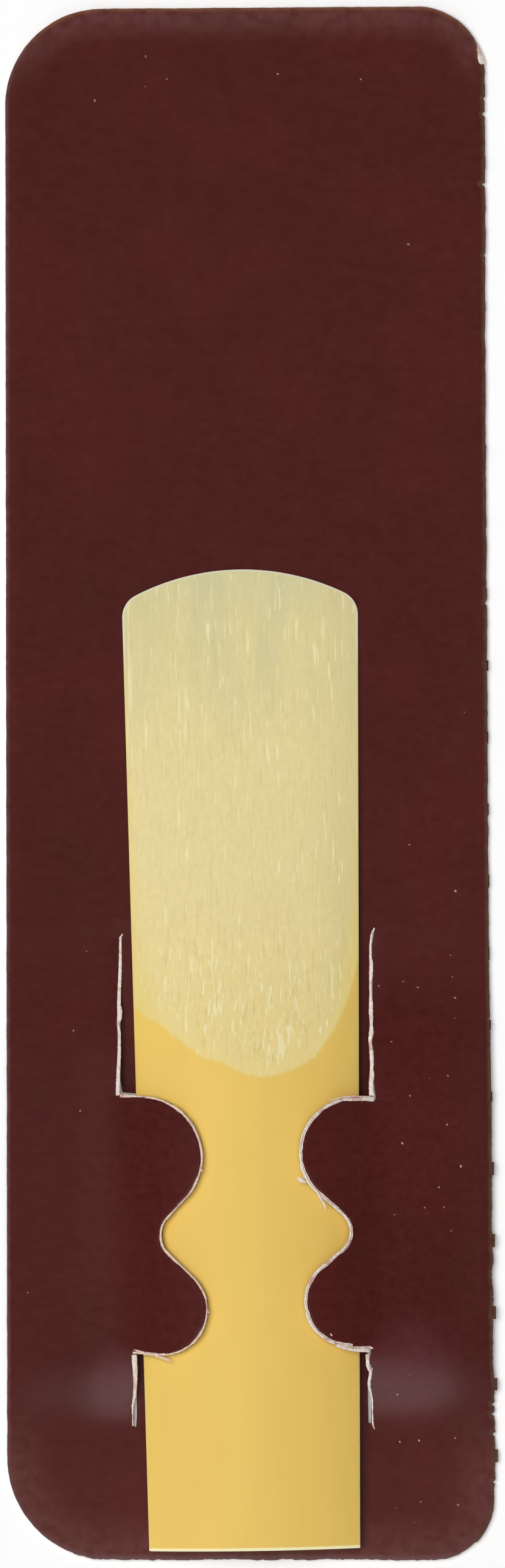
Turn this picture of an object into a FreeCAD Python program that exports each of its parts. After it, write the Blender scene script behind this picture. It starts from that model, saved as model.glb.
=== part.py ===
import FreeCAD, Part
import math
import os
import Sketcher

from collections import namedtuple
from FreeCAD import Vector

# A soprano saxophone reed held in its die-cut board card.
# Row frame: origin at the middle of the card's footprint, on the table. +Y runs to the reed's tip, +Z is up.
# Die frame: origin on the die's axis at the waist of the tabs, turned a little from the card.
# Across is measured from the die's axis, along is measured towards the reed's tip.

SIZES = [
    # Card outline, each side's distance from the row's origin
    ("card_left_upper", 15.12, "left side at the top corner"),
    ("card_left_lower", 14.98, "left side at the bottom corner"),
    ("card_right_upper", 14.50, "right side at the top corner"),
    ("card_right_lower", 15.00, "right side at the bottom corner"),
    ("card_top_left", 47.78, "top edge at the left side"),
    ("card_top_right", 48.00, "top edge at the right side"),
    ("card_bottom", 48.00, "bottom edge"),
    ("corner_top_left", 6.0, "corner radius"),
    ("corner_top_right", 4.2, "corner radius"),
    ("corner_bottom_left", 6.3, "corner radius"),
    ("corner_bottom_right", 3.6, "corner radius"),
    # Torn perforation along the right side
    ("tie_first", 7.3, "first tie above the bottom edge"),
    ("tie_pitch", 4.31, "from one tie to the next"),
    ("tie_count", 20, "number of ties"),
    ("tie_width", 0.36, "width of a torn tie at its foot"),
    ("tie_tip", 0.16, "width of a torn tie at its end"),
    ("tie_stand", 0.12, "how far a torn tie stands out"),
    # Laminated board
    ("facing_thickness", 0.08, "each facing"),
    ("core_thickness", 0.44, "paper core"),
    # Die-cut pattern
    ("die_skew", 0.905, "turn of the die from the card, degrees"),
    ("die_drop", 27.67, "waist of the tabs below the card's middle"),
    ("kerf", 0.16, "width of a slit"),
    ("cut_bevel", 0.17, "core left bare beside a cut in the front facing"),
    ("upper_slit_across", 7.80, "upper slit from the axis"),
    ("upper_slit_end", 18.3, "upper end of the upper slit"),
    ("lower_slit_across", 7.27, "lower slit from the axis"),
    ("lower_slit_end", 12.0, "lower end of the lower slit, below the waist"),
    ("left_tab_upper_edge", 8.60, "upper edge of the left tab at the slit"),
    ("right_tab_upper_edge", 8.10, "upper edge of the right tab at the slit"),
    ("tab_lower_edge", 7.40, "lower edge of both tabs at the slit, below the waist"),
    ("hinge_gap", 0.05, "gap at the live hinge between tab and band"),
    # Left tab, circles of its edge
    ("left_upper_across", 6.57, "upper lobe centre"),
    ("left_upper_along", 4.71, "upper lobe centre"),
    ("left_upper_radius", 3.74, "upper lobe"),
    ("left_notch_across", 3.90, "notch centre"),
    ("left_notch_along", -0.14, "notch centre"),
    ("left_notch_radius", 1.55, "notch"),
    ("left_lower_across", 5.50, "lower lobe centre"),
    ("left_lower_along", -4.70, "lower lobe centre"),
    ("left_lower_radius", 2.84, "lower lobe"),
    # Right tab, circles of its edge
    ("right_upper_across", 6.49, "upper lobe centre"),
    ("right_upper_along", 4.79, "upper lobe centre"),
    ("right_upper_radius", 3.38, "upper lobe"),
    ("right_notch_across", 4.75, "notch centre"),
    ("right_notch_along", -0.08, "notch centre"),
    ("right_notch_radius", 1.42, "notch"),
    ("right_lower_across", 6.06, "lower lobe centre"),
    ("right_lower_along", -4.38, "lower lobe centre"),
    ("right_lower_radius", 2.77, "lower lobe"),
    # Reed
    ("reed_length", 60.5, "heel to tip"),
    ("reed_heel_below_waist", 19.65, "heel below the waist of the tabs"),
    ("reed_heel_width", 13.02, "width at the heel"),
    ("reed_tip_width", 14.58, "width at the tip's corners"),
    ("reed_heel_thickness", 2.90, "thickness at the heel"),
    ("bark_radius", 13.0, "radius of the cane's bark"),
    ("tip_curve_radius", 14.5, "radius of the tip's curve"),
    ("tip_corner_radius", 1.5, "radius of the tip's corners"),
    ("heel_chamfer", 0.18, "broken edge of the bark at the heel"),
    ("shoulder_along", 29.4, "lowest point of the vamp, from the heel"),
    ("shoulder_radius", 19.0, "radius across the vamp at its shoulder"),
    ("rail_run", 4.5, "from the shoulder to where the vamp reaches the sides"),
    ("rail_thickness", 2.30, "thickness on the axis there"),
    ("rail_radius", 19.4, "radius across the vamp there"),
    ("heart_run", 12.6, "from the shoulder to the heart of the vamp"),
    ("heart_thickness", 1.55, "thickness at the heart"),
    ("heart_radius", 28.0, "radius across the vamp at the heart"),
    ("blade_run", 21.6, "from the shoulder to half way between heart and tip"),
    ("blade_thickness", 0.86, "thickness on the axis there"),
    ("blade_radius", 62.0, "radius across the vamp there"),
    ("tip_thickness", 0.12, "thickness in the middle of the tip"),
    ("tip_crown_radius", 400.0, "radius across the tip"),
    ("vamp_offset", 0.05, "how far the vamp's crown is left of the axis"),
    # Clearances and how far the cutting shapes overrun
    ("tab_clearance", 0.12, "gap between the bark and a tab"),
    ("band_edge_lift", 0.25, "lift of the arched band at the card's side"),
    ("overrun", 2.0, "how far a cutting shape runs past what it cuts"),
]

SIDES = {"left": -1, "right": 1}


def make_sheet(doc):
    """The spreadsheet with every driving dimension."""
    sheet = doc.addObject("Spreadsheet::Sheet", "Sizes")
    for row, (alias, value, meaning) in enumerate(SIZES, start=1):
        sheet.set(f"A{row}", alias)
        sheet.set(f"B{row}", str(value))
        sheet.set(f"C{row}", meaning)
        sheet.setAlias(f"B{row}", alias)
    doc.recompute()
    return sheet


class Sizes:
    """Reads a size from the sheet by its alias."""

    def __init__(self, sheet):
        self.sheet = sheet

    def __getattr__(self, alias):
        return float(getattr(self.sheet, alias))

    def of(self, expression):
        return float(self.sheet.evalExpression(expression))

    @property
    def card_thickness(self):
        return self.core_thickness + 2 * self.facing_thickness

    @property
    def bark_centre_height(self):
        """Height of the bark's axis over the table, with the reed lying on the card."""
        return self.card_thickness + self.reed_heel_thickness - self.bark_radius

    @property
    def tab_inner_radius(self):
        return self.bark_radius + self.tab_clearance

    @property
    def tab_outer_radius(self):
        return self.tab_inner_radius + self.card_thickness


def named_plane(body, role):
    """One of a body's own origin planes."""
    return next(plane for plane in body.Origin.OriginFeatures if plane.Role == role)


def sketch_on(body, name, role, **offsets):
    """A sketch on an origin plane, moved or turned on it by expressions."""
    sketch = body.newObject("Sketcher::SketchObject", name)
    sketch.AttachmentSupport = [(named_plane(body, role), "")]
    sketch.MapMode = "FlatFace"
    for path, expression in offsets.items():
        sketch.setExpression(f".AttachmentOffset.{path.replace('_', '.')}", expression)
    return sketch


def draw_profile(sizes, sketch, corners, arcs=None):
    """A closed profile through corners given as expressions.

    arcs maps the index of a side to (radius expression, sign). The sign is +1 where the arc's centre lies to the
    left of the side's direction.
    """
    arcs = arcs or {}
    places = [Vector(sizes.of(across), sizes.of(up), 0) for across, up in corners]
    ends = []
    for index, start in enumerate(places):
        finish = places[(index + 1) % len(places)]
        if index in arcs:
            radius_text, sign = arcs[index]
            geometry, ends_swapped = arc_between(start, finish, sizes.of(radius_text), sign)
            number = sketch.addGeometry(geometry, False)
            constraint = sketch.addConstraint(Sketcher.Constraint("Radius", number, geometry.Radius))
            sketch.setExpression(f"Constraints[{constraint}]", radius_text)
            ends.append((number, 2, 1) if ends_swapped else (number, 1, 2))
        else:
            number = sketch.addGeometry(Part.LineSegment(start, finish), False)
            ends.append((number, 1, 2))
    for index, (number, first, last) in enumerate(ends):
        following = ends[(index + 1) % len(ends)]
        sketch.addConstraint(Sketcher.Constraint("Coincident", number, last, following[0], following[1]))
    for index, (number, first, last) in enumerate(ends):
        place_point(sketch, number, first, "DistanceX", places[index].x, corners[index][0])
        place_point(sketch, number, first, "DistanceY", places[index].y, corners[index][1])
    return sketch


def place_point(sketch, number, end, direction, value, expression):
    """Ties one coordinate of a sketch point to the sheet."""
    constraint = sketch.addConstraint(Sketcher.Constraint(direction, number, end, value))
    sketch.setExpression(f"Constraints[{constraint}]", expression)


def arc_between(start, finish, radius, sign):
    """The minor arc from start to finish, and whether its own ends run the other way."""
    chord = finish - start
    height = math.sqrt(radius ** 2 - (chord.Length / 2) ** 2)
    across = Vector(-chord.y, chord.x, 0).normalize()
    centre = (start + finish) * 0.5 + across * (sign * height)
    first, last = (start, finish) if sign > 0 else (finish, start)
    first_angle = math.atan2(first.y - centre.y, first.x - centre.x)
    last_angle = math.atan2(last.y - centre.y, last.x - centre.x)
    if last_angle < first_angle:
        last_angle += 2 * math.pi
    circle = Part.Circle(centre, Vector(0, 0, 1), radius)
    return Part.ArcOfCircle(circle, first_angle, last_angle), sign < 0


def upright_edges_at(sizes, feature, corners):
    """Names of a feature's upright edges that stand on corners given as expressions."""
    places = [Vector(sizes.of(across), sizes.of(along), 0) for across, along in corners]
    names = []
    for index, edge in enumerate(feature.Shape.Edges, start=1):
        first, last = (vertex.Point for vertex in (edge.Vertexes[0], edge.Vertexes[-1]))
        foot = Vector(first.x, first.y, 0)
        upright = foot.isEqual(Vector(last.x, last.y, 0), sizes.hinge_gap)
        if upright and any(foot.isEqual(place, sizes.hinge_gap) for place in places):
            names.append(f"Edge{index}")
    return names


def pad(body, sketch, name, length):
    feature = body.newObject("PartDesign::Pad", name)
    feature.Profile = sketch
    feature.setExpression("Length", length)
    return feature


def round_upright_corners(doc, sizes, body, base, corners, radius):
    """Rounds upright corners of the last feature."""
    doc.recompute()
    feature = body.newObject("PartDesign::Fillet", f"{body.Name}_{radius}")
    feature.Base = (base, upright_edges_at(sizes, base, corners))
    feature.setExpression("Radius", f"Sizes.{radius}")
    return feature


def set_in_die_frame(feature, height="0"):
    """Places a feature that was drawn in the die frame, at a height given as an expression."""
    feature.setExpression(".Placement.Base.y", "-Sizes.die_drop")
    feature.setExpression(".Placement.Base.z", height)
    feature.setExpression(".Placement.Rotation.Angle", "Sizes.die_skew")


# The reed

def make_reed(doc, sizes):
    """Cane slip: outline, bark, vamp and the broken edge at the heel."""
    body = doc.addObject("PartDesign::Body", "reed")
    body.Label = "reed"
    blank = make_reed_blank(doc, sizes, body)
    bark = cut_bark(doc, sizes, body, blank)
    vamp = cut_vamp(doc, sizes, body, bark)
    break_heel_edge(doc, sizes, body, vamp)
    set_in_die_frame(body, "Sizes.core_thickness + 2 * Sizes.facing_thickness")
    return body


def make_reed_blank(doc, sizes, body):
    """Tapered outline with the curved tip, as thick as the heel."""
    heel = "-Sizes.reed_heel_below_waist"
    half_heel = "Sizes.reed_heel_width / 2"
    half_tip = "Sizes.reed_tip_width / 2"
    tip_drop = f"(Sizes.tip_curve_radius - sqrt(Sizes.tip_curve_radius^2 - ({half_tip})^2))"
    corner_along = f"Sizes.reed_length - Sizes.reed_heel_below_waist - {tip_drop}"
    corners = [
        (f"-{half_heel}", heel),
        (half_heel, heel),
        (half_tip, corner_along),
        (f"-{half_tip}", corner_along),
    ]
    outline = sketch_on(body, "reed_outline", "XY_Plane")
    draw_profile(sizes, outline, corners, {2: ("Sizes.tip_curve_radius", 1)})
    blank = pad(body, outline, "reed_blank", "Sizes.reed_heel_thickness")
    return round_upright_corners(doc, sizes, body, blank, corners[2:], "tip_corner_radius")


def crowned_profile(sizes, sketch, crown, radius, shift="0"):
    """Everything above a crowned surface: an arc below, a box over it."""
    half = "(Sizes.reed_tip_width / 2 + Sizes.overrun)"
    side = f"{crown} - {radius} + sqrt(({radius})^2 - {half}^2)"
    top = "Sizes.reed_heel_thickness + 2 * Sizes.overrun"
    corners = [
        (f"-{half} - {shift}", side),
        (f"{half} - {shift}", side),
        (f"{half} - {shift}", top),
        (f"-{half} - {shift}", top),
    ]
    return draw_profile(sizes, sketch, corners, {0: (radius, -1)})


def cut_bark(doc, sizes, body, blank):
    """The bark is part of the cane tube's outside."""
    sketch = sketch_on(body, "bark_section", "XZ_Plane")
    crowned_profile(sizes, sketch, "Sizes.reed_heel_thickness", "Sizes.bark_radius")
    doc.recompute()
    pocket = body.newObject("PartDesign::Pocket", "bark")
    pocket.Profile = sketch
    pocket.Type = "ThroughAll"
    pocket.Midplane = True
    doc.recompute()
    check_removed(blank, pocket)
    return pocket


def cut_vamp(doc, sizes, body, bark):
    """The scraped vamp: a crowned surface that falls and flattens from the shoulder to the tip."""
    heart = "(Sizes.shoulder_along + Sizes.heart_run)"
    blade = "(Sizes.shoulder_along + Sizes.blade_run)"
    fall = "(Sizes.reed_heel_thickness - Sizes.rail_thickness) / Sizes.rail_run"
    thin = f"(Sizes.blade_thickness - Sizes.tip_thickness) / (Sizes.reed_length - {blade})"
    stations = [
        ("Sizes.shoulder_along - Sizes.overrun", f"(Sizes.reed_heel_thickness + {fall} * Sizes.overrun)",
         "Sizes.shoulder_radius"),
        ("Sizes.shoulder_along", "Sizes.reed_heel_thickness", "Sizes.shoulder_radius"),
        ("Sizes.shoulder_along + Sizes.rail_run", "Sizes.rail_thickness", "Sizes.rail_radius"),
        (heart, "Sizes.heart_thickness", "Sizes.heart_radius"),
        (blade, "Sizes.blade_thickness", "Sizes.blade_radius"),
        ("Sizes.reed_length", "Sizes.tip_thickness", "Sizes.tip_crown_radius"),
        ("Sizes.reed_length + Sizes.overrun", f"(Sizes.tip_thickness - {thin} * Sizes.overrun)",
         "Sizes.tip_crown_radius"),
    ]
    sketches = []
    for number, (along, crown, radius) in enumerate(stations, start=1):
        offset = f"Sizes.reed_heel_below_waist - ({along})"
        sketch = sketch_on(body, f"vamp_section_{number}", "XZ_Plane", Base_z=offset)
        sketches.append(crowned_profile(sizes, sketch, crown, radius, "Sizes.vamp_offset"))
    doc.recompute()
    loft = body.newObject("PartDesign::SubtractiveLoft", "vamp")
    loft.Profile = sketches[0]
    loft.Sections = sketches[1:]
    doc.recompute()
    check_removed(bark, loft)
    return loft


def break_heel_edge(doc, sizes, body, vamp):
    """A small chamfer along the bark's edge at the heel."""
    heel = -sizes.reed_heel_below_waist
    names = []
    for index, edge in enumerate(vamp.Shape.Edges, start=1):
        box = edge.BoundBox
        at_heel = abs(box.YMin - heel) + abs(box.YMax - heel) < sizes.heel_chamfer
        if at_heel and box.ZMax > sizes.reed_heel_thickness - sizes.heel_chamfer:
            names.append(f"Edge{index}")
    chamfer = body.newObject("PartDesign::Chamfer", "heel_edge")
    chamfer.Base = (vamp, names)
    chamfer.setExpression("Size", "Sizes.heel_chamfer")
    doc.recompute()
    check_removed(vamp, chamfer)
    return chamfer


def check_removed(before, after):
    """A cut that points away from its solid removes nothing and shows no error."""
    if after.Shape.Volume >= before.Shape.Volume:
        raise RuntimeError(f"{after.Label} removed nothing")


# The die-cut edges, drawn in the die frame

def tab_upper_edge(sizes, side):
    return getattr(sizes, f"{side}_tab_upper_edge")


def root_across(sizes, side, along):
    """Distance of the live hinge from the axis, on the line between the two slits of a side."""
    span = tab_upper_edge(sizes, side) + sizes.tab_lower_edge
    rise = (along + sizes.tab_lower_edge) / span
    across = sizes.lower_slit_across + rise * (sizes.upper_slit_across - sizes.lower_slit_across)
    return across + sizes.kerf / 2 - sizes.hinge_gap


def hinge_height(sizes, across):
    """Height of a tab's upper face at its root, where the band meets it."""
    return sizes.bark_centre_height + math.sqrt(sizes.tab_outer_radius ** 2 - across ** 2)


def on_circle(centre, radius, angle):
    return Vector(centre.x + radius * math.cos(angle), centre.y + radius * math.sin(angle), 0)


def crossing_tangent(first, first_radius, second, second_radius, turn):
    """The straight line between two circles that lie on either side of it: its ends and its angle."""
    line = second - first
    lean = math.acos((first_radius + second_radius) / line.Length)
    angle = math.atan2(line.y, line.x) + turn * lean
    return on_circle(first, first_radius, angle), on_circle(second, -second_radius, angle), angle


def touching_point(place, centre, radius, turn):
    """Where the line from a place touches a circle."""
    line = place - centre
    angle = math.atan2(line.y, line.x) + turn * math.acos(radius / line.Length)
    return on_circle(centre, radius, angle)


def arc_through(centre, radius, start, finish, middle_angle):
    return Part.Arc(start, on_circle(centre, radius, middle_angle), finish).toShape()


def tab_edge(sizes, side, start, finish, inset=0.0):
    """The free edge of a tab from its upper root to its lower root: two lobes with a notch between."""
    upper, notch, lower = (
        Vector(getattr(sizes, f"{side}_{name}_across"), getattr(sizes, f"{side}_{name}_along"), 0)
        for name in ("upper", "notch", "lower")
    )
    upper_radius = getattr(sizes, f"{side}_upper_radius") - inset
    notch_radius = getattr(sizes, f"{side}_notch_radius") + inset
    lower_radius = getattr(sizes, f"{side}_lower_radius") - inset
    on_upper = touching_point(start, upper, upper_radius, 1)
    off_upper, on_notch, notch_start = crossing_tangent(upper, upper_radius, notch, notch_radius, -1)
    off_notch, on_lower, notch_end = crossing_tangent(notch, notch_radius, lower, lower_radius, 1)
    off_lower = touching_point(finish, lower, lower_radius, -1)
    notch_middle = (notch_start + notch_end + math.pi) / 2
    edges = [
        Part.LineSegment(start, on_upper).toShape(),
        arc_through(upper, upper_radius, on_upper, off_upper, math.pi),
        Part.LineSegment(off_upper, on_notch).toShape(),
        arc_through(notch, notch_radius, on_notch, off_notch, notch_middle),
        Part.LineSegment(off_notch, on_lower).toShape(),
        arc_through(lower, lower_radius, on_lower, off_lower, math.pi),
        Part.LineSegment(off_lower, finish).toShape(),
    ]
    return edges


def polyline(points):
    return [Part.LineSegment(first, last).toShape() for first, last in zip(points, points[1:])]


def prism(sizes, side, edges, low, high):
    """An upright prism over edges drawn for the right side, mirrored for the left."""
    face = Part.Face(Part.Wire(edges))
    if SIDES[side] < 0:
        face = face.mirror(Vector(0, 0, 0), Vector(1, 0, 0))
    face.translate(Vector(0, 0, low))
    return face.extrude(Vector(0, 0, high - low))


def far_across(sizes):
    """A distance from the axis that is outside the card on both sides."""
    return max(sizes.card_left_upper, sizes.card_right_lower) + sizes.overrun


def cut_region(sizes, side, inset, low, high):
    """What is cut free of the centre strip on one side: slits, tab and band."""
    upper_slit = sizes.upper_slit_across - sizes.kerf / 2
    lower_slit = sizes.lower_slit_across - sizes.kerf / 2
    tab_top = Vector(upper_slit, tab_upper_edge(sizes, side) + sizes.kerf / 2, 0)
    tab_foot = Vector(lower_slit, -sizes.tab_lower_edge - sizes.kerf / 2, 0)
    edges = tab_edge(sizes, side, tab_top, tab_foot, -inset)
    edges += polyline([
        tab_foot,
        Vector(lower_slit, -sizes.lower_slit_end, 0),
        Vector(far_across(sizes), -sizes.lower_slit_end, 0),
        Vector(far_across(sizes), sizes.upper_slit_end, 0),
        Vector(upper_slit, sizes.upper_slit_end, 0),
        tab_top,
    ])
    return prism(sizes, side, edges, low, high)


def band_region(sizes, side, bevel, low, high):
    """Plan of an arched band: slits and live hinge on one side, past the card's side on the other."""
    upper_slit = sizes.upper_slit_across + sizes.kerf / 2
    lower_slit = sizes.lower_slit_across + sizes.kerf / 2
    upper_edge = tab_upper_edge(sizes, side)
    corners = [
        Vector(upper_slit + bevel, sizes.upper_slit_end, 0),
        Vector(upper_slit + bevel, upper_edge, 0),
        Vector(upper_slit, upper_edge, 0),
        Vector(lower_slit, -sizes.tab_lower_edge, 0),
        Vector(lower_slit + bevel, -sizes.tab_lower_edge, 0),
        Vector(lower_slit + bevel, -sizes.lower_slit_end, 0),
        Vector(far_across(sizes), -sizes.lower_slit_end, 0),
        Vector(far_across(sizes), sizes.upper_slit_end, 0),
    ]
    if bevel == 0:
        del corners[4]
        del corners[1]
    return prism(sizes, side, polyline(corners + corners[:1]), low, high)


# The arched bands

def ramp(start, finish):
    """Two arcs that leave one level and reach the next without a kink, in the plane across the card."""
    run = abs(finish.y - start.y)
    rise = abs(finish.z - start.z)
    radius = (run ** 2 + rise ** 2) / (4 * rise)
    middle = (start + finish) * 0.5
    half_turn = math.asin(run / (2 * radius)) / 2
    return [bend(start, middle, radius, half_turn, start), bend(middle, finish, radius, half_turn, finish)]


def bend(first, last, radius, half_turn, level_end):
    """An arc that is level at one of its ends."""
    other = last if level_end == first else first
    along = math.copysign(radius * math.sin(half_turn), other.y - level_end.y)
    up = math.copysign(radius * (1 - math.cos(half_turn)), other.z - level_end.z)
    return Part.Arc(first, level_end + Vector(0, along, up), last).toShape()


def band_section(sizes, side, across, low, high):
    """Closed section along the card through an arched ply, at one distance from the axis."""
    upper_edge = tab_upper_edge(sizes, side)

    def crest(along):
        root = root_across(sizes, side, along)
        root_lift = hinge_height(sizes, root) - sizes.card_thickness
        share = (across - root) / (card_half_width(sizes) - root)
        return root_lift + share * (sizes.band_edge_lift - root_lift)

    def profile(level):
        points = [
            Vector(across, -sizes.lower_slit_end, level),
            Vector(across, -sizes.tab_lower_edge, level + crest(-sizes.tab_lower_edge)),
            Vector(across, upper_edge, level + crest(upper_edge)),
            Vector(across, sizes.upper_slit_end, level),
        ]
        edges = ramp(points[0], points[1])
        edges += polyline(points[1:3])
        edges += ramp(points[2], points[3])
        return edges, points[0], points[-1]

    under, under_start, under_end = profile(low)
    over, over_start, over_end = profile(high)
    edges = under + polyline([under_end, over_end]) + over[::-1] + polyline([over_start, under_start])
    return Part.Wire(edges)


def card_half_width(sizes):
    return (sizes.card_left_upper + sizes.card_right_lower) / 2


def band_shape(sizes, side, bevel, low, high):
    """One arched ply of a band, ruled from the tab's root out to the card's side."""
    near = band_section(sizes, side, sizes.lower_slit_across - sizes.kerf, low, high)
    far = band_section(sizes, side, far_across(sizes), low, high)
    arch = Part.makeLoft([near, far], True, True)
    if SIDES[side] < 0:
        arch = arch.mirror(Vector(0, 0, 0), Vector(1, 0, 0))
    reach = high + hinge_height(sizes, 0)
    return arch.common(band_region(sizes, side, bevel, -reach, reach))


# The card

def make_blank(doc, sizes):
    """The card's outline with its four unlike corners and the torn ties, tall enough for every ply."""
    body = doc.addObject("PartDesign::Body", "card_blank")
    corners = [
        ("-Sizes.card_left_lower", "-Sizes.card_bottom"),
        ("Sizes.card_right_lower", "-Sizes.card_bottom"),
        ("Sizes.card_right_upper", "Sizes.card_top_right"),
        ("-Sizes.card_left_upper", "Sizes.card_top_left"),
    ]
    radii = ["corner_bottom_left", "corner_bottom_right", "corner_top_right", "corner_top_left"]
    outline = sketch_on(body, "card_outline", "XY_Plane", Base_z="-Sizes.overrun")
    draw_profile(sizes, outline, corners)
    last = pad(body, outline, "card_stack", "Sizes.bark_radius")
    for corner, radius in zip(corners, radii):
        last = round_upright_corners(doc, sizes, body, last, [corner], radius)
    add_ties(doc, sizes, body)
    return body


def add_ties(doc, sizes, body):
    """Torn ties of the perforation, evenly spaced up the right side."""
    lean = "atan((Sizes.card_right_lower - Sizes.card_right_upper) / (Sizes.card_bottom + Sizes.card_top_right))"
    sketch = sketch_on(body, "tie_outline", "XY_Plane", Base_x="Sizes.card_right_lower",
                       Base_y="-Sizes.card_bottom", Base_z="-Sizes.overrun", Rotation_Angle=lean)
    half_foot = "Sizes.tie_width / 2"
    half_tip = "Sizes.tie_tip / 2"
    corners = [
        ("-Sizes.tie_stand", f"Sizes.tie_first - {half_foot}"),
        ("0", f"Sizes.tie_first - {half_foot}"),
        ("Sizes.tie_stand", f"Sizes.tie_first - {half_tip}"),
        ("Sizes.tie_stand", f"Sizes.tie_first + {half_tip}"),
        ("0", f"Sizes.tie_first + {half_foot}"),
        ("-Sizes.tie_stand", f"Sizes.tie_first + {half_foot}"),
    ]
    draw_profile(sizes, sketch, corners)
    pad(body, sketch, "tie", "Sizes.bark_radius")
    doc.recompute()
    row = body.newObject("PartDesign::LinearPattern", "tie_row")
    row.Originals = [body.Tip]
    row.Direction = (sketch, ["V_Axis"])
    row.setExpression("Occurrences", "Sizes.tie_count")
    row.setExpression("Length", "Sizes.tie_pitch * (Sizes.tie_count - 1)")
    body.Tip = row
    doc.recompute()


def add_shape(doc, name, shape, height="0"):
    """A feature whose shape was drawn in the die frame."""
    feature = doc.addObject("Part::Feature", name)
    feature.Shape = shape
    set_in_die_frame(feature, height)
    return feature


def make_flat_sheet(doc, node, low, thickness):
    """A flat ply, larger than the card all round."""
    half_width = "(Sizes.card_left_upper + Sizes.card_right_lower)"
    half_length = "(Sizes.card_bottom + Sizes.overrun)"
    sheet = doc.addObject("Part::Box", f"{node}_sheet")
    sheet.setExpression("Length", f"2 * {half_width}")
    sheet.setExpression("Width", f"2 * {half_length}")
    sheet.setExpression("Height", thickness)
    sheet.setExpression(".Placement.Base.x", f"-{half_width}")
    sheet.setExpression(".Placement.Base.y", f"-{half_length}")
    sheet.setExpression(".Placement.Base.z", low)
    return sheet


def make_card_ply(doc, sizes, blank, ply):
    """One ply of the card: flat sheet less the cut regions, plus the two arched bands."""
    node = f"card_{ply.name}"
    low = sizes.of(ply.low)
    high = low + sizes.of(ply.thickness)
    strip = make_flat_sheet(doc, node, ply.low, ply.thickness)
    bands = []
    for side in SIDES:
        cut = doc.addObject("Part::Cut", f"{node}_less_{side}")
        cut.Base = strip
        region = cut_region(sizes, side, sizes.kerf / 2, -sizes.overrun, high + sizes.overrun)
        cut.Tool = add_shape(doc, f"{node}_{side}_cut", region)
        strip = cut
        band = band_shape(sizes, side, sizes.of(ply.bevel), low, high)
        bands.append(add_shape(doc, f"{node}_{side}_band", band))
    whole = doc.addObject("Part::MultiFuse", f"{node}_whole")
    whole.Shapes = [strip] + bands
    whole.Refine = True
    card_ply = doc.addObject("Part::Common", node)
    card_ply.Base = blank
    card_ply.Tool = whole
    card_ply.Label = node
    return card_ply


# The tabs

def tab_section(sizes, side, along, inner, outer):
    """Section of one ply of a tab, drawn on the right: a ring's sector from the live hinge inwards."""
    root = root_across(sizes, side, along)
    root_angle = math.asin(root / sizes.tab_outer_radius)
    end_angle = math.asin(sizes.kerf / sizes.tab_outer_radius)
    middle_angle = (root_angle + end_angle) / 2

    def place(radius, angle):
        height = sizes.bark_centre_height + radius * math.cos(angle)
        return Vector(radius * math.sin(angle), along, height)

    corners = [place(radius, angle) for radius in (inner, outer) for angle in (root_angle, end_angle)]
    edges = [
        Part.Arc(corners[0], place(inner, middle_angle), corners[1]).toShape(),
        Part.LineSegment(corners[1], corners[3]).toShape(),
        Part.Arc(corners[3], place(outer, middle_angle), corners[2]).toShape(),
        Part.LineSegment(corners[2], corners[0]).toShape(),
    ]
    return Part.Wire(edges)


def make_tab_ply(doc, sizes, side, ply):
    """One ply of a tab, curved over the bark."""
    inner = sizes.tab_inner_radius + sizes.of(ply.low)
    outer = inner + sizes.of(ply.thickness)
    bevel = sizes.of(ply.bevel)
    upper_edge = tab_upper_edge(sizes, side)
    ends = (-sizes.tab_lower_edge - sizes.kerf, upper_edge + sizes.kerf)
    curved = Part.makeLoft([tab_section(sizes, side, along, inner, outer) for along in ends], True, True)
    if SIDES[side] < 0:
        curved = curved.mirror(Vector(0, 0, 0), Vector(1, 0, 0))
    beyond = sizes.upper_slit_across + sizes.overrun
    start = Vector(sizes.upper_slit_across, upper_edge - bevel, 0)
    finish = Vector(sizes.lower_slit_across, -sizes.tab_lower_edge + bevel, 0)
    edges = tab_edge(sizes, side, start, finish, bevel)
    edges += polyline([finish, Vector(beyond, finish.y, 0), Vector(beyond, start.y, 0), start])
    outline = prism(sizes, side, edges, 0, hinge_height(sizes, 0) + sizes.overrun)
    tab_ply = add_shape(doc, f"{side}_tab_{ply.name}", curved.common(outline))
    tab_ply.Label = tab_ply.Name
    return tab_ply


# The plies from the table up. low, thickness and bevel are expressions, bevel is the bare core beside a cut.
Ply = namedtuple("Ply", "name low thickness bevel")
PLIES = [
    Ply("back_facing", "0", "Sizes.facing_thickness", "0"),
    Ply("core", "Sizes.facing_thickness", "Sizes.core_thickness", "0"),
    Ply("front_facing", "Sizes.facing_thickness + Sizes.core_thickness", "Sizes.facing_thickness",
        "Sizes.cut_bevel"),
]


def build():
    doc = FreeCAD.newDocument("soprano_reed_card")
    sizes = Sizes(make_sheet(doc))
    blank = make_blank(doc, sizes)
    nodes = [make_reed(doc, sizes)]
    for ply in PLIES:
        nodes.append(make_card_ply(doc, sizes, blank, ply))
        nodes += [make_tab_ply(doc, sizes, side, ply) for side in SIDES]
    doc.recompute()
    return doc, nodes


def check(doc, nodes):
    """Stops where an object failed or a node isn't one valid solid."""
    for item in doc.Objects:
        if "Invalid" in item.State or "Error" in item.State:
            raise RuntimeError(f"{item.Label} failed: {item.State}")
    for node in nodes:
        shape = node.Shape
        if shape.isNull() or not shape.isValid():
            raise RuntimeError(f"{node.Label} has no valid shape")
        if len(shape.Solids) != 1:
            raise RuntimeError(f"{node.Label} has {len(shape.Solids)} solids")


def export(nodes):
    os.makedirs("parts", exist_ok=True)
    for node in nodes:
        node.Shape.exportStep(os.path.join("parts", f"{node.Label}.step"))
        print(f"{node.Label}: {node.Shape.Volume:.3f} cubic mm")


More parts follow.
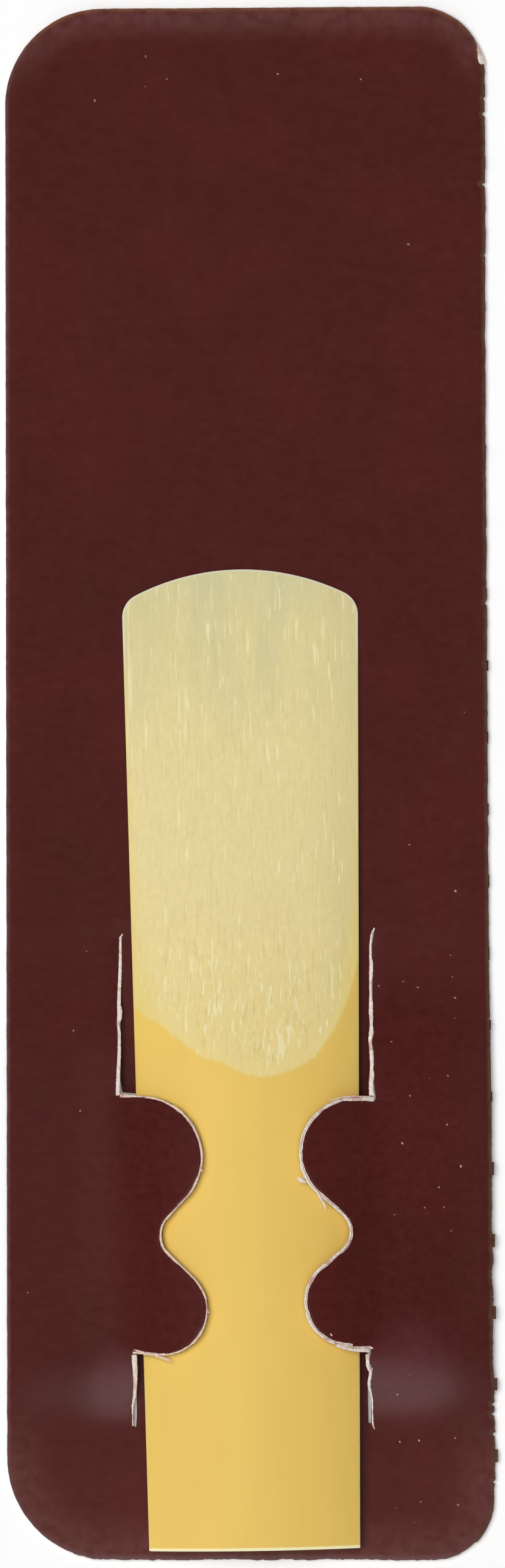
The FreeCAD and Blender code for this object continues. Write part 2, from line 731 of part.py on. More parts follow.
document, part_nodes = build()
check(document, part_nodes)
export(part_nodes)
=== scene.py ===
"""A soprano saxophone reed held in its die-cut board card, dressed around its solids."""

import math

import bpy
import numpy as np
from bpy.props import FloatProperty, FloatVectorProperty, PointerProperty
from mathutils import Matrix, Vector, kdtree
from mathutils.geometry import delaunay_2d_cdt


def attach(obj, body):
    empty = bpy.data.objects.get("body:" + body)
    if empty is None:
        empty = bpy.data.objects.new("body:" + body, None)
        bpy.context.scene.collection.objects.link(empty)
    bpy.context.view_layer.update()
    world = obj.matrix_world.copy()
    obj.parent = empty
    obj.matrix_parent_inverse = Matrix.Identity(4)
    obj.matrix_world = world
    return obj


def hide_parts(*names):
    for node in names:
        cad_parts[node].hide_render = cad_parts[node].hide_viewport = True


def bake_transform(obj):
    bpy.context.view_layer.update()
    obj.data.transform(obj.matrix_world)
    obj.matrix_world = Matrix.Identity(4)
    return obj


bl_info = {
    "name": "Soprano Reed in its Card",
    "version": (1, 0, 0),
    "blender": (4, 5, 0),
    "location": "View3D > Sidebar > Reed Card",
    "description": "Builds the cane reed, its laminated card, the torn cut edges and the stage",
    "category": "Object",
}

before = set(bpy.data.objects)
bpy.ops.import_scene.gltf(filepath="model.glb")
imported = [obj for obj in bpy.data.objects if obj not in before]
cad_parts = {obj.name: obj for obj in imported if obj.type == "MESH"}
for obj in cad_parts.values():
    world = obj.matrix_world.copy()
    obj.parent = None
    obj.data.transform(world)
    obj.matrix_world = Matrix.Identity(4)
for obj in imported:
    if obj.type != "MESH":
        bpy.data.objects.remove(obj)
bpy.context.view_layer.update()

# The picture: how many rows of pixels it has, and the size of one on the card, in millimetres.
PICTURE_ROWS, ROW_SIZE = 2576, 0.0376
# The camera's sensor in millimetres, and its distance from the card in metres.
SENSOR, CAMERA_AWAY = 36.0, 0.9

# Sizes of the solids, in millimetres. The row frame has its origin under the middle of the card.
# The die frame has its origin at the waist of the tabs: across from the die's axis, along towards the tip.
MM = 0.001
DIE_SKEW = math.radians(0.905)
DIE_DROP = 27.67
CARD_HEEL, CARD_LENGTH = -48.0, 96.0
RIGHT_EDGE, RIGHT_LEAN = 15.00, 0.5
CARD_CORNERS = [(-14.98, -48.00), (15.00, -48.00), (14.50, 48.00), (-15.12, 47.78)]
CARD_RADII = [6.3, 3.6, 4.2, 6.0]
FACING = 0.08
CORE = 0.44
BOARD = CORE + 2 * FACING
KERF = 0.16
UPPER_SLIT, UPPER_END = 7.80, 18.3
LOWER_SLIT, LOWER_END = 7.27, -12.0
TAB_TOPS, TAB_FOOT = {-1: 8.60, 1: 8.10}, -7.40
HINGE_GAP = 0.05
# Upper lobe, notch and lower lobe of each tab: across, along, radius.
LOBES = {
    -1: [(6.57, 4.71, 3.74), (3.90, -0.14, 1.55), (5.50, -4.70, 2.84)],
    1: [(6.49, 4.79, 3.38), (4.75, -0.08, 1.42), (6.06, -4.38, 2.77)],
}
# How far outward the knife wandered from the slits' line: places along, and the wander at each.
CUT_WANDER = {
    -1: ([-12.0, -11.3, -9.0, -7.4, 8.6, 9.5, 11.0, 14.0, 16.2, 18.3],
         [0.02, -0.03, -0.05, 0.0, 0.0, 0.14, 0.10, 0.05, -0.05, -0.10]),
    1: ([-12.0, -10.8, -9.6, -8.8, -8.1, -7.4, 8.1, 9.2, 11.3, 14.0, 17.5, 18.3],
        [-0.04, -0.05, -0.05, 0.04, -0.12, 0.0, 0.0, -0.12, -0.17, -0.10, -0.07, 0.10]),
}
SIDE_NAMES = {-1: "left", 1: "right"}
REED_LENGTH, REED_HEEL = 60.5, -19.65
HEEL_WIDTH, TIP_WIDTH = 13.02, 14.58
HEEL_THICKNESS, BARK_RADIUS = 2.90, 13.0
TIP_CURVE, TIP_CORNER = 14.5, 1.5
HEEL_CHAMFER = 0.18
# How far the vamp's crown stands to the left of the reed's axis.
VAMP_OFFSET = 0.05
# Stations of the vamp from the heel: along, crown height over the flat side, radius across.
VAMP_STATIONS = [
    (27.4, 3.1667, 19.0),
    (29.4, 2.90, 19.0),
    (33.9, 2.30, 19.4),
    (42.0, 1.55, 28.0),
    (51.0, 0.86, 62.0),
    (60.5, 0.12, 400.0),
    (62.5, -0.0358, 400.0),
]
# How much the vamp's crown rises for each millimetre toward the heel, before its first station.
VAMP_RISE = 0.1333
# How far the shoulder's line stands from a smooth one at places across the reed, and where along this fades.
SHOULDER_TOP, SHOULDER_FADE = 22.0, 8.0
SHOULDER_PLACES = [-6.72, -5.38, -4.05, -2.71, -1.36, 0.0, 1.34, 2.70, 4.06, 5.45, 6.79]
SHOULDER_STANDS = [-1.00, 0.23, 0.47, 0.39, 0.48, -0.07, -0.34, -0.42, -0.62, -0.10, 0.66]
# The skin of facing over a live hinge: reach to each side, gaps left at its foot and top, depth, stand, and
# how many points it has across and along.
HINGE_REACH = {-1: 1.5, 1: 1.1}
HINGE_FOOT_GAP, HINGE_TOP_GAP = 0.24, 0.22
HINGE_DEPTH, HINGE_STAND = 0.05, 0.006
HINGE_COLUMNS, HINGE_ROWS = 13, 90
BARK_CENTRE = BOARD + HEEL_THICKNESS - BARK_RADIUS
TAB_RADIUS = BARK_RADIUS + 0.12
BAND_EDGE_LIFT = 0.25
CARD_HALF_WIDTH = (15.12 + 15.00) / 2
TIE_FIRST, TIE_PITCH, TIE_COUNT = 6.41, 4.44, 20
# How far each tie stands out, as a share of a whole one, from the heel end up.
TIE_STANDS = [0.60, 0.66, 0.55, 0.50, 0.38, 0.18, 0.14, 0.12, 0.16, 0.12, 0.12, 0.24, 0.06, 0.05, 0.05, 0.04,
              0.04, 0.04, 0.04, 0.04]
# How far the right edge bows outward: places from the middle of the card, and the bow at each.
BOW_PLACES = [-46.0, -43.0, -40.4, -35.5, -30.6, -21.2, -15.6, -11.8, 0.0, 16.0, 27.0, 34.0]
BOWS = [0.08, 0.20, 0.18, 0.15, 0.11, 0.10, 0.04, -0.02, -0.03, -0.05, -0.06, 0.0]
# Nicks in the right edge: places from the middle of the card, and how deep each is.
NICKS = [(42.26, 0.10), (41.32, 0.24), (36.96, 0.24), (32.6, 0.10), (11.1, 0.14), (7.4, 0.14), (-14.6, 0.10),
         (-38.4, 0.20), (-39.0, 0.24), (-40.25, 0.22), (-43.2, 0.20)]
NICK_REACH = 0.09
# The corner where the facing is torn away: places, how far the facing falls back there, and how far the
# core stands out.
TEAR_PLACES = [44.38, 44.50, 44.8, 45.2, 45.6, 46.1]
TEAR_BACK = [0.0, 0.20, 0.22, 0.15, 0.07, 0.0]
TEAR_OUT = [0.0, 0.12, 0.08, 0.02, 0.0, 0.0]

# The field with specks, and the reed's way through it, which stays free of them.
SPECK_FIELD = [(-14.2, -46.0), (14.0, -46.0), (13.6, 45.0), (-14.4, 45.0)]
SLIDE_HALF_WIDTH, SLIDE_END = 8.4, 42.5
# Painted highlight patches over the arched bands' lower ramps: centre and reach, across and along.
PAINTED_HIGHLIGHTS = [(-8.3, -37.2, 1.9, 2.8), (10.0, -36.4, 3.2, 3.9)]

CARD_STRIP_SLIM = 0.85
# The thin ragged line round each tab: its half width, and how creamy it is.
TAB_LINE, TAB_LINE_CREAM = {-1: 0.05, 1: 0.068}, {-1: 0.7, 1: 0.1}
# Torn core left standing along the cuts, by body. Each run: how creamy it is, then the places along it:
# across, along, width.
TORN_RUNS = {
    "card": [
        (0.15, [(-7.58, 18.46, 0.07), (-7.71, 18.21, 0.17), (-7.72, 17.3, 0.21), (-7.75, 16.2, 0.26),
                (-7.82, 15.0, 0.27), (-7.86, 14.1, 0.29), (-7.81, 13.7, 0.39), (-7.83, 13.3, 0.38),
                (-7.92, 12.9, 0.21), (-7.85, 12.4, 0.20), (-7.88, 11.2, 0.26), (-7.95, 9.9, 0.29),
                (-8.01, 8.8, 0.31), (-7.97, 8.5, 0.37)]),
        (0.1, [(8.00, 18.58, 0.09), (7.82, 18.22, 0.15), (7.74, 17.5, 0.18), (7.73, 16.8, 0.19),
               (7.77, 16.4, 0.29), (7.74, 15.6, 0.29), (7.69, 15.2, 0.17), (7.70, 14.4, 0.22),
               (7.71, 13.95, 0.31), (7.70, 13.3, 0.34), (7.72, 12.6, 0.22), (7.69, 12.1, 0.38),
               (7.61, 11.6, 0.24), (7.69, 10.9, 0.31), (7.71, 10.3, 0.30), (7.68, 9.9, 0.27),
               (7.69, 9.5, 0.39), (7.62, 8.8, 0.32), (7.67, 8.25, 0.42)]),
        (0.3, [(-7.25, -7.5, 0.42), (-7.22, -8.1, 0.40), (-7.21, -9.0, 0.34), (-7.26, -10.0, 0.26),
               (-7.41, -10.7, 0.14), (-7.41, -11.3, 0.11), (-7.41, -11.9, 0.09)]),
        (0.1, [(7.16, -7.7, 0.31), (7.14, -8.4, 0.25), (7.33, -8.85, 0.21), (7.22, -9.4, 0.23),
               (7.24, -9.8, 0.24), (7.40, -10.5, 0.13), (7.41, -11.4, 0.11), (7.41, -12.04, 0.12),
               (7.50, -12.36, 0.13), (7.60, -12.36, 0.06)]),
        (0.5, [(7.41, -7.7, 0.08), (7.43, -8.5, 0.08), (7.36, -8.82, 0.08)]),
        (0.3, [(7.26, -7.19, 0.14), (7.51, -7.38, 0.14), (7.69, -7.66, 0.14), (7.51, -7.72, 0.14)]),
    ],
    "left_tab": [
        (0.4, [(-7.86, 8.44, 0.25), (-7.54, 8.42, 0.20), (-7.07, 8.45, 0.13), (-6.80, 8.46, 0.06)]),
        (0.9, [(-7.35, -7.10, 0.13), (-7.10, -7.21, 0.15), (-6.65, -7.37, 0.15)]),
        (0.5, [(-6.66, -7.42, 0.14), (-6.28, -7.46, 0.12), (-5.78, -7.48, 0.15), (-5.34, -7.43, 0.08)]),
        (0.6, [(-5.95, -7.55, 0.10), (-5.53, -7.66, 0.14), (-5.22, -7.76, 0.15), (-4.98, -7.90, 0.07)]),
        (0.3, [(-2.98, 3.96, 0.05), (-2.86, 3.86, 0.12), (-2.84, 3.74, 0.05)]),
        (0.3, [(-2.72, -4.70, 0.05), (-2.64, -4.80, 0.11), (-2.63, -4.94, 0.05)]),
    ],
    "right_tab": [
        (0.2, [(7.76, 8.02, 0.36), (7.32, 8.05, 0.26), (6.89, 8.05, 0.22), (6.47, 8.04, 0.20),
               (6.13, 8.05, 0.15), (5.80, 8.02, 0.08)]),
        (0.5, [(7.55, 8.20, 0.06), (6.60, 8.24, 0.10), (5.80, 8.20, 0.10), (5.05, 8.02, 0.05)]),
        (0.9, [(5.14, -6.94, 0.09), (5.57, -7.10, 0.09), (6.01, -7.17, 0.09), (6.64, -7.24, 0.09),
               (7.20, -7.19, 0.09), (7.40, -7.25, 0.07)]),
        (0.1, [(5.20, -7.07, 0.13), (5.70, -7.24, 0.16), (6.13, -7.35, 0.18), (6.63, -7.42, 0.22),
               (7.13, -7.45, 0.23), (7.28, -7.50, 0.20)]),
        (0.0, [(3.04, 3.34, 0.08), (3.12, 3.22, 0.26), (3.26, 3.12, 0.28), (3.48, 3.02, 0.12)]),
        (0.2, [(4.00, 2.66, 0.07), (4.22, 2.36, 0.15), (4.40, 2.02, 0.13), (4.62, 1.62, 0.16),
               (4.70, 1.33, 0.05)]),
        (0.2, [(4.78, -6.30, 0.05), (4.90, -6.42, 0.22), (5.02, -6.52, 0.06)]),
    ],
}


# Plans: runs of points in millimetres, kept as arrays of two columns

def die_to_row(plan):
    """From the die frame to the row frame."""
    across, along = plan[:, 0], plan[:, 1]
    cos, sin = math.cos(DIE_SKEW), math.sin(DIE_SKEW)
    return np.column_stack([across * cos - along * sin, across * sin + along * cos - DIE_DROP])


def row_to_die(plan):
    """From the row frame to the die frame."""
    x, y = plan[:, 0], plan[:, 1] + DIE_DROP
    cos, sin = math.cos(DIE_SKEW), math.sin(DIE_SKEW)
    return np.column_stack([x * cos + y * sin, -x * sin + y * cos])


def turn_to(angle, near):
    """The same angle, counted so that it lies within half a turn of another."""
    return near + (angle - near + math.pi) % (2 * math.pi) - math.pi


def arc_through(centre, radius, start, finish, middle):
    """Points of an arc between two complex places, passing a middle angle."""
    first = math.atan2((start - centre).imag, (start - centre).real)
    middle = turn_to(middle, first)
    last = turn_to(math.atan2((finish - centre).imag, (finish - centre).real), middle)
    count = max(4, int(abs(last - first) * radius / 0.08))
    return [centre + radius * complex(math.cos(a), math.sin(a)) for a in np.linspace(first, last, count)]


def crossing_tangent(first, first_radius, second, second_radius, turn):
    """Where a line that crosses between two circles touches each, and the angle of the first place."""
    line = second - first
    angle = math.atan2(line.imag, line.real) + turn * math.acos((first_radius + second_radius) / abs(line))
    direction = complex(math.cos(angle), math.sin(angle))
    return first + first_radius * direction, second - second_radius * direction, angle


def touching_point(place, centre, radius, turn):
    """Where a line from a place touches a circle."""
    line = place - centre
    angle = math.atan2(line.imag, line.real) + turn * math.acos(radius / abs(line))
    return centre + radius * complex(math.cos(angle), math.sin(angle))


def tab_edge(side, start, finish, inset):
    """The free edge of a tab, two lobes with a notch between, drawn for the right side."""
    (ua, ul, ur), (na, nl, nr), (la, ll, lr) = LOBES[side]
    upper, notch, lower = complex(ua, ul), complex(na, nl), complex(la, ll)
    ur, nr, lr = ur - inset, nr + inset, lr - inset
    on_upper = touching_point(complex(*start), upper, ur, 1)
    off_upper, on_notch, notch_start = crossing_tangent(upper, ur, notch, nr, -1)
    off_notch, on_lower, notch_end = crossing_tangent(notch, nr, lower, lr, 1)
    off_lower = touching_point(complex(*finish), lower, lr, -1)
    places = [complex(*start)]
    places += arc_through(upper, ur, on_upper, off_upper, math.pi)
    places += arc_through(notch, nr, on_notch, off_notch, (notch_start + notch_end + math.pi) / 2)
    places += arc_through(lower, lr, on_lower, off_lower, math.pi)
    places.append(complex(*finish))
    return [(place.real, place.imag) for place in places]


def rounded_outline(corners, radii):
    """A closed run round a shape whose corners are rounded, each with its own radius."""
    run = []
    count = len(corners)
    for index, radius in enumerate(radii):
        corner = complex(*corners[index])
        before = complex(*corners[index - 1]) - corner
        after = complex(*corners[(index + 1) % count]) - corner
        before, after = before / abs(before), after / abs(after)
        half = math.acos(max(-1.0, min(1.0, (before * after.conjugate()).real))) / 2
        middle = (before + after) / abs(before + after)
        centre = corner + middle * (radius / math.sin(half))
        start = corner + before * (radius / math.tan(half))
        finish = corner + after * (radius / math.tan(half))
        facing = math.atan2(-middle.imag, -middle.real)
        run += [(p.real, p.imag) for p in arc_through(centre, radius, start, finish, facing)]
    return run


def even_run(points, step, closed=False):
    """The same run walked in even steps, and the distance along it at each."""
    points = np.asarray(points, float)
    if closed:
        points = np.vstack([points, points[:1]])
    lengths = np.hypot(*np.diff(points, axis=0).T)
    along = np.concatenate([[0], np.cumsum(lengths)])
    count = max(3, int(round(along[-1] / step)))
    places = np.linspace(0, along[-1], count + 1)
    if closed:
        places = places[:-1]
    run = np.column_stack([np.interp(places, along, points[:, k]) for k in (0, 1)])
    return run, places


def sideways(run, closed=False):
    """Unit vectors to the right of a run's direction."""
    if closed:
        ahead = np.roll(run, -1, axis=0) - np.roll(run, 1, axis=0)
    else:
        ahead = np.gradient(run, axis=0)
    ahead /= np.maximum(np.hypot(ahead[:, 0], ahead[:, 1]), 1e-9)[:, None]
    return np.column_stack([ahead[:, 1], -ahead[:, 0]])


def wander(places, grain, seed):
    """Random values between -1 and 1 that change smoothly along a run, a new one every grain."""
    knots = np.random.default_rng(seed).uniform(-1, 1, int(places.max() / grain) + 3)
    whole = np.floor(places / grain).astype(int)
    share = places / grain - whole
    share = share * share * (3 - 2 * share)
    return knots[whole] * (1 - share) + knots[whole + 1] * share


def torn(places, seed):
    """A torn edge: coarse waves with finer ones on them."""
    return (0.5 * wander(places, 1.1, seed) + 0.35 * wander(places, 0.42, seed + 1)
            + 0.3 * wander(places, 0.17, seed + 2))


def inside(plan, loop):
    """Which points lie inside a closed run."""
    x, y = plan[:, 0], plan[:, 1]
    within = np.zeros(len(plan), bool)
    for (x1, y1), (x2, y2) in zip(loop, np.roll(loop, -1, axis=0)):
        if y1 != y2:
            crosses = ((y1 > y) != (y2 > y)) & (x < (x2 - x1) * (y - y1) / (y2 - y1) + x1)
            within ^= crosses
    return within


def edge_distance(plan, loop, closed=True):
    """Distance of each point from a run."""
    tree = kdtree.KDTree(len(loop))
    for index, (x, y) in enumerate(loop):
        tree.insert((x, y, 0), index)
    tree.balance()
    nearest = np.array([tree.find((x, y, 0))[1] for x, y in plan])
    best = np.full(len(plan), 1e9)
    count = len(loop)
    for step in (-1, 0):
        first = nearest + step
        last = first + 1
        if closed:
            first, last = first % count, last % count
        else:
            first, last = np.clip(first, 0, count - 1), np.clip(last, 0, count - 1)
        start, line = loop[first], loop[last] - loop[first]
        squared = np.maximum(np.einsum("ij,ij->i", line, line), 1e-12)
        share = np.einsum("ij,ij->i", plan - start, line) / squared
        foot = start + np.clip(share, 0, 1)[:, None] * line
        best = np.minimum(best, np.hypot(*(plan - foot).T))
    return best


def fill_plan(outer, holes, spacing, extra=None, clear=0.6):
    """Triangles over a plan with holes. Returns the points and the faces."""
    loops = [outer, *holes]
    low, high = outer.min(axis=0), outer.max(axis=0)
    columns = np.arange(low[0], high[0], spacing)
    rows = np.arange(low[1], high[1], spacing * 0.87)
    grid = np.array([(x + (spacing / 2 if k % 2 else 0), y) for k, y in enumerate(rows) for x in columns])
    edge_points = np.vstack(loops)
    inner = [grid[edge_distance(grid, edge_points, False) > spacing * clear]]
    if extra is not None and len(extra):
        inner.append(extra)
    inner = np.vstack(inner)
    keep = inside(inner, outer)
    for hole in holes:
        keep &= ~inside(inner, hole)
    inner = inner[keep]
    points = np.vstack([edge_points, inner])
    edges, offset = [], 0
    for loop in loops:
        count = len(loop)
        edges += [(offset + k, offset + (k + 1) % count) for k in range(count)]
        offset += count
    result = delaunay_2d_cdt([Vector(p) for p in points], edges, [], 0, 1e-7)
    corners = np.array([tuple(p) for p in result[0]])
    faces = np.array(result[2])
    middles = corners[faces].mean(axis=1)
    keep = inside(middles, outer)
    for hole in holes:
        keep &= ~inside(middles, hole)
    faces = faces[keep]
    a, b, c = (corners[faces[:, k]] for k in range(3))
    turned = (b[:, 0] - a[:, 0]) * (c[:, 1] - a[:, 1]) - (b[:, 1] - a[:, 1]) * (c[:, 0] - a[:, 0]) < 0
    faces[turned] = faces[turned][:, ::-1]
    used = np.unique(faces)
    renumber = np.full(len(corners), -1)
    renumber[used] = np.arange(len(used))
    return corners[used], renumber[faces]


def store_values(mesh, key, values):
    """Keeps one value for each point of a mesh."""
    mesh.attributes.new(key, "FLOAT", "POINT").data.foreach_set("value", values.astype(np.float32))


def closed_ply(name, plan, faces, under, over, attributes, materials, wall_slot=0, under_slot=0):
    """A closed mesh between two heights over the same plan, in the die frame. Heights are in millimetres."""
    row = die_to_row(plan)
    count = len(plan)
    corners = np.vstack([np.column_stack([row, over]), np.column_stack([row, under])]) * MM
    edges = {(a, b) for face in faces.tolist() for a, b in zip(face, face[1:] + face[:1])}
    walls = [(a, a + count, b + count, b) for a, b in sorted(edges) if (b, a) not in edges]
    lower = (faces[:, ::-1] + count).tolist()
    mesh = bpy.data.meshes.new(name)
    mesh.from_pydata(corners.tolist(), [], faces.tolist() + lower + walls)
    slots = [0] * len(faces) + [under_slot] * len(lower) + [wall_slot] * len(walls)
    mesh.polygons.foreach_set("material_index", slots)
    for key, values in attributes.items():
        store_values(mesh, key, np.concatenate([values, values]))
    for material in materials:
        mesh.materials.append(material)
    mesh.shade_smooth()
    mesh.set_sharp_from_angle(angle=math.radians(40))
    mesh.update()
    return mesh


def add_object(name, data):
    """Puts a new object in the scene."""
    added = bpy.data.objects.new(name, data)
    bpy.context.scene.collection.objects.link(added)
    return added


def place_piece(name, mesh, body, slot, *nodes):
    """Puts a finished mesh in the scene, on its body if it has one, in place of its solids."""
    piece = add_object(name, mesh)
    if body:
        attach(piece, body)
    if nodes:
        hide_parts(*nodes)
    return piece


# Heights of the board

def tab_top(plan):
    """Place along of the upper edge of the tab on a point's side."""
    return np.where(plan[:, 0] < 0, TAB_TOPS[-1], TAB_TOPS[1])


def slit_across(plan):
    """Distance of the slits and the live hinge between them from the axis."""
    share = np.clip((plan[:, 1] - TAB_FOOT) / (tab_top(plan) - TAB_FOOT), 0, 1)
    return LOWER_SLIT + share * (UPPER_SLIT - LOWER_SLIT)


def slit_shift(plan):
    """How far the cut wandered from its line, outward, at each place."""
    shift = np.zeros(len(plan))
    for side, (places, shifts) in CUT_WANDER.items():
        shift = np.where(plan[:, 0] * side > 0, np.interp(plan[:, 1], places, shifts), shift)
    return shift


def crest_lift(plan, along):
    """Lift of an arched band where it is highest."""
    root = slit_across(np.column_stack([plan[:, 0], along])) + KERF / 2 - HINGE_GAP
    root_lift = BARK_CENTRE + np.sqrt((TAB_RADIUS + BOARD) ** 2 - root ** 2) - BOARD
    share = (np.abs(plan[:, 0]) - root) / (CARD_HALF_WIDTH - root)
    return root_lift + share * (BAND_EDGE_LIFT - root_lift)


def ramp_lift(share, run, rise):
    """Height on a ramp of two arcs, from level to level."""
    radius = (run ** 2 + rise ** 2) / (4 * rise)
    first = radius - np.sqrt(np.maximum(radius ** 2 - (np.minimum(share, 0.5) * run) ** 2, 0))
    second = radius - np.sqrt(np.maximum(radius ** 2 - ((1 - np.maximum(share, 0.5)) * run) ** 2, 0))
    return np.where(share < 0.5, first, rise - second)


def board_lift(plan):
    """How far the board's underside stands over the table."""
    along, top = plan[:, 1], tab_top(plan)
    on_band = np.abs(plan[:, 0]) > slit_across(plan) + slit_shift(plan)
    lift = crest_lift(plan, along)
    low_rise = np.maximum(crest_lift(plan, np.full_like(along, TAB_FOOT)), 0.01)
    high_rise = np.maximum(crest_lift(plan, top), 0.01)
    low_share = np.clip((along - LOWER_END) / (TAB_FOOT - LOWER_END), 0, 1)
    high_share = np.clip((UPPER_END - along) / (UPPER_END - top), 0, 1)
    lift = np.where(along < TAB_FOOT, ramp_lift(low_share, TAB_FOOT - LOWER_END, low_rise), lift)
    lift = np.where(along > top, ramp_lift(high_share, UPPER_END - top, high_rise), lift)
    return np.where(on_band, lift, 0.0)


def tab_height(plan, level):
    """Height of a tab's layer, which follows the bark."""
    return BARK_CENTRE + np.sqrt((TAB_RADIUS + level) ** 2 - plan[:, 0] ** 2)


def rolled(distance, width, depth):
    """Drop of a rolled edge at a distance from it."""
    share = 1 - np.clip(distance / width, 0, 1)
    return depth * (1 - np.sqrt(np.maximum(1 - share ** 2, 0)))


def crushed(distance, width, depth):
    """Drop beside a knife cut."""
    return depth * (1 - np.clip(distance / width, 0, 1)) ** 2


# Shader and geometry trees

def made_once(collection, name):
    """Has a builder run once. Later calls take what it made, by its name."""
    def wrap(build):
        def take(*settings):
            return getattr(bpy.data, collection).get(name) or build(*settings)
        return take
    return wrap


class Tree:
    """Adds nodes to a tree, sets their inputs and joins them."""

    def __init__(self, tree):
        self.tree = tree

    def add(self, kind, inputs=None, **settings):
        node = self.tree.nodes.new(kind)
        for key, value in settings.items():
            setattr(node, key, value)
        for key, value in (inputs or {}).items():
            self.set(node.inputs[key], value)
        return node

    def set(self, socket, value):
        if isinstance(value, bpy.types.NodeSocket):
            self.tree.links.new(value, socket)
        else:
            socket.default_value = value

    def math(self, operation, first, second=0.0, third=0.0):
        return self.add("ShaderNodeMath", {0: first, 1: second, 2: third}, operation=operation).outputs[0]

    def times(self, first, second):
        return self.math("MULTIPLY", first, second)

    def vector(self, operation, first, second):
        return self.add("ShaderNodeVectorMath", {0: first, 1: second}, operation=operation).outputs[0]

    def xyz(self, x, y, z):
        return self.add("ShaderNodeCombineXYZ", {0: x, 1: y, 2: z}).outputs[0]

    def mix(self, share, first, second):
        return self.add("ShaderNodeMix", {0: share, 6: first, 7: second}, data_type="RGBA").outputs[2]

    def wash(self, colour, share, strength, over):
        """A colour with another washed over it, by a share and a strength."""
        return self.mix(self.times(share, strength), colour, over)

    def ease(self, value, low, high, to_low=0.0, to_high=1.0):
        node = self.add("ShaderNodeMapRange", {0: value, 1: low, 2: high, 3: to_low, 4: to_high},
                        interpolation_type="SMOOTHSTEP")
        return node.outputs[0]

    def noise(self, place, scale, detail=2.0, rough=0.5):
        node = self.add("ShaderNodeTexNoise", {"Vector": place, "Scale": scale, "Detail": detail,
                                               "Roughness": rough})
        return node.outputs[0]

    def stretch(self, place, scale):
        return self.add("ShaderNodeMapping", {"Vector": place, "Scale": scale}).outputs[0]

    def attribute(self, name):
        return self.add("ShaderNodeAttribute", attribute_name=name).outputs["Fac"]


def shade(red, green, blue):
    """A colour given in display values from 0 to 255, as the linear colour that a node takes."""
    values = [value / 255 for value in (red, green, blue)]
    linear = [v / 12.92 if v <= 0.04045 else ((v + 0.055) / 1.055) ** 2.4 for v in values]
    return (*linear, 1.0)


def new_material(name):
    """A material with one surface, its graph still to be filled."""
    material = bpy.data.materials.new(name)
    material.use_nodes = True
    tree = material.node_tree
    tree.nodes.clear()
    graph = Tree(tree)
    surface = graph.add("ShaderNodeBsdfPrincipled")
    output = graph.add("ShaderNodeOutputMaterial")
    tree.links.new(surface.outputs[0], output.inputs["Surface"])
    return material, graph, surface


def shader_group(name, sizes, results):
    """A shader group that takes a place and named sizes, and gives named values."""
    group = bpy.data.node_groups.new(name, "ShaderNodeTree")
    face = group.interface
    face.new_socket("Place", in_out="INPUT", socket_type="NodeSocketVector")
    for label, value in sizes.items():
        face.new_socket(label, in_out="INPUT", socket_type="NodeSocketFloat").default_value = value
    for label in results:
        face.new_socket(label, in_out="OUTPUT", socket_type="NodeSocketFloat")
    graph = Tree(group)
    return group, graph, graph.add("NodeGroupInput").outputs


@made_once("node_groups", "streak_grain")
def grain_group():
    """Streaks along one direction, as a value from 0 to 1."""
    group, graph, source = shader_group(
        "streak_grain", {"Across": 9000.0, "Along": 600.0, "Low": 0.4, "High": 0.7}, ["Streak"])
    scale = graph.xyz(source["Across"], source["Along"], source["Across"])
    value = graph.noise(graph.vector("MULTIPLY", source["Place"], scale), 1.0, 2.0, 0.55)
    graph.add("NodeGroupOutput", {"Streak": graph.ease(value, source["Low"], source["High"])})
    return group


@made_once("node_groups", "paper_mottle")
def mottle_group():
    """Soft blotches and fine speckle for printed paper and board."""
    group, graph, source = shader_group(
        "paper_mottle", {"Blotch Scale": 150.0, "Speckle Scale": 3000.0}, ["Blotch", "Speckle"])
    blotch = graph.ease(graph.noise(source["Place"], source["Blotch Scale"], 3.0), 0.3, 0.7)
    speckle = graph.ease(graph.noise(source["Place"], source["Speckle Scale"], 2.0), 0.3, 0.7)
    graph.add("NodeGroupOutput", {"Blotch": blotch, "Speckle": speckle})
    return group


def mottle(graph, place, blotch_scale, speckle_scale):
    """Blotches and speckle at a place."""
    sizes = {"Place": place, "Blotch Scale": blotch_scale, "Speckle Scale": speckle_scale}
    node = graph.add("ShaderNodeGroup", sizes, node_tree=mottle_group())
    return node.outputs["Blotch"], node.outputs["Speckle"]


def streaks(graph, place, across, along, low, high):
    """Streaks at a place."""
    sizes = {"Place": place, "Across": across, "Along": along, "Low": low, "High": high}
    return graph.add("ShaderNodeGroup", sizes, node_tree=grain_group()).outputs["Streak"]


def dress(graph, surface, colour, rough, bump, **settings):
    """Joins a colour, a roughness and a bump of (strength, distance, height) to a surface."""
    graph.set(surface.inputs["Base Color"], colour)
    graph.set(surface.inputs["Roughness"], rough)
    relief = graph.add("ShaderNodeBump", dict(zip(("Strength", "Distance", "Height"), bump)), **settings)
    graph.set(surface.inputs["Normal"], relief.outputs[0])


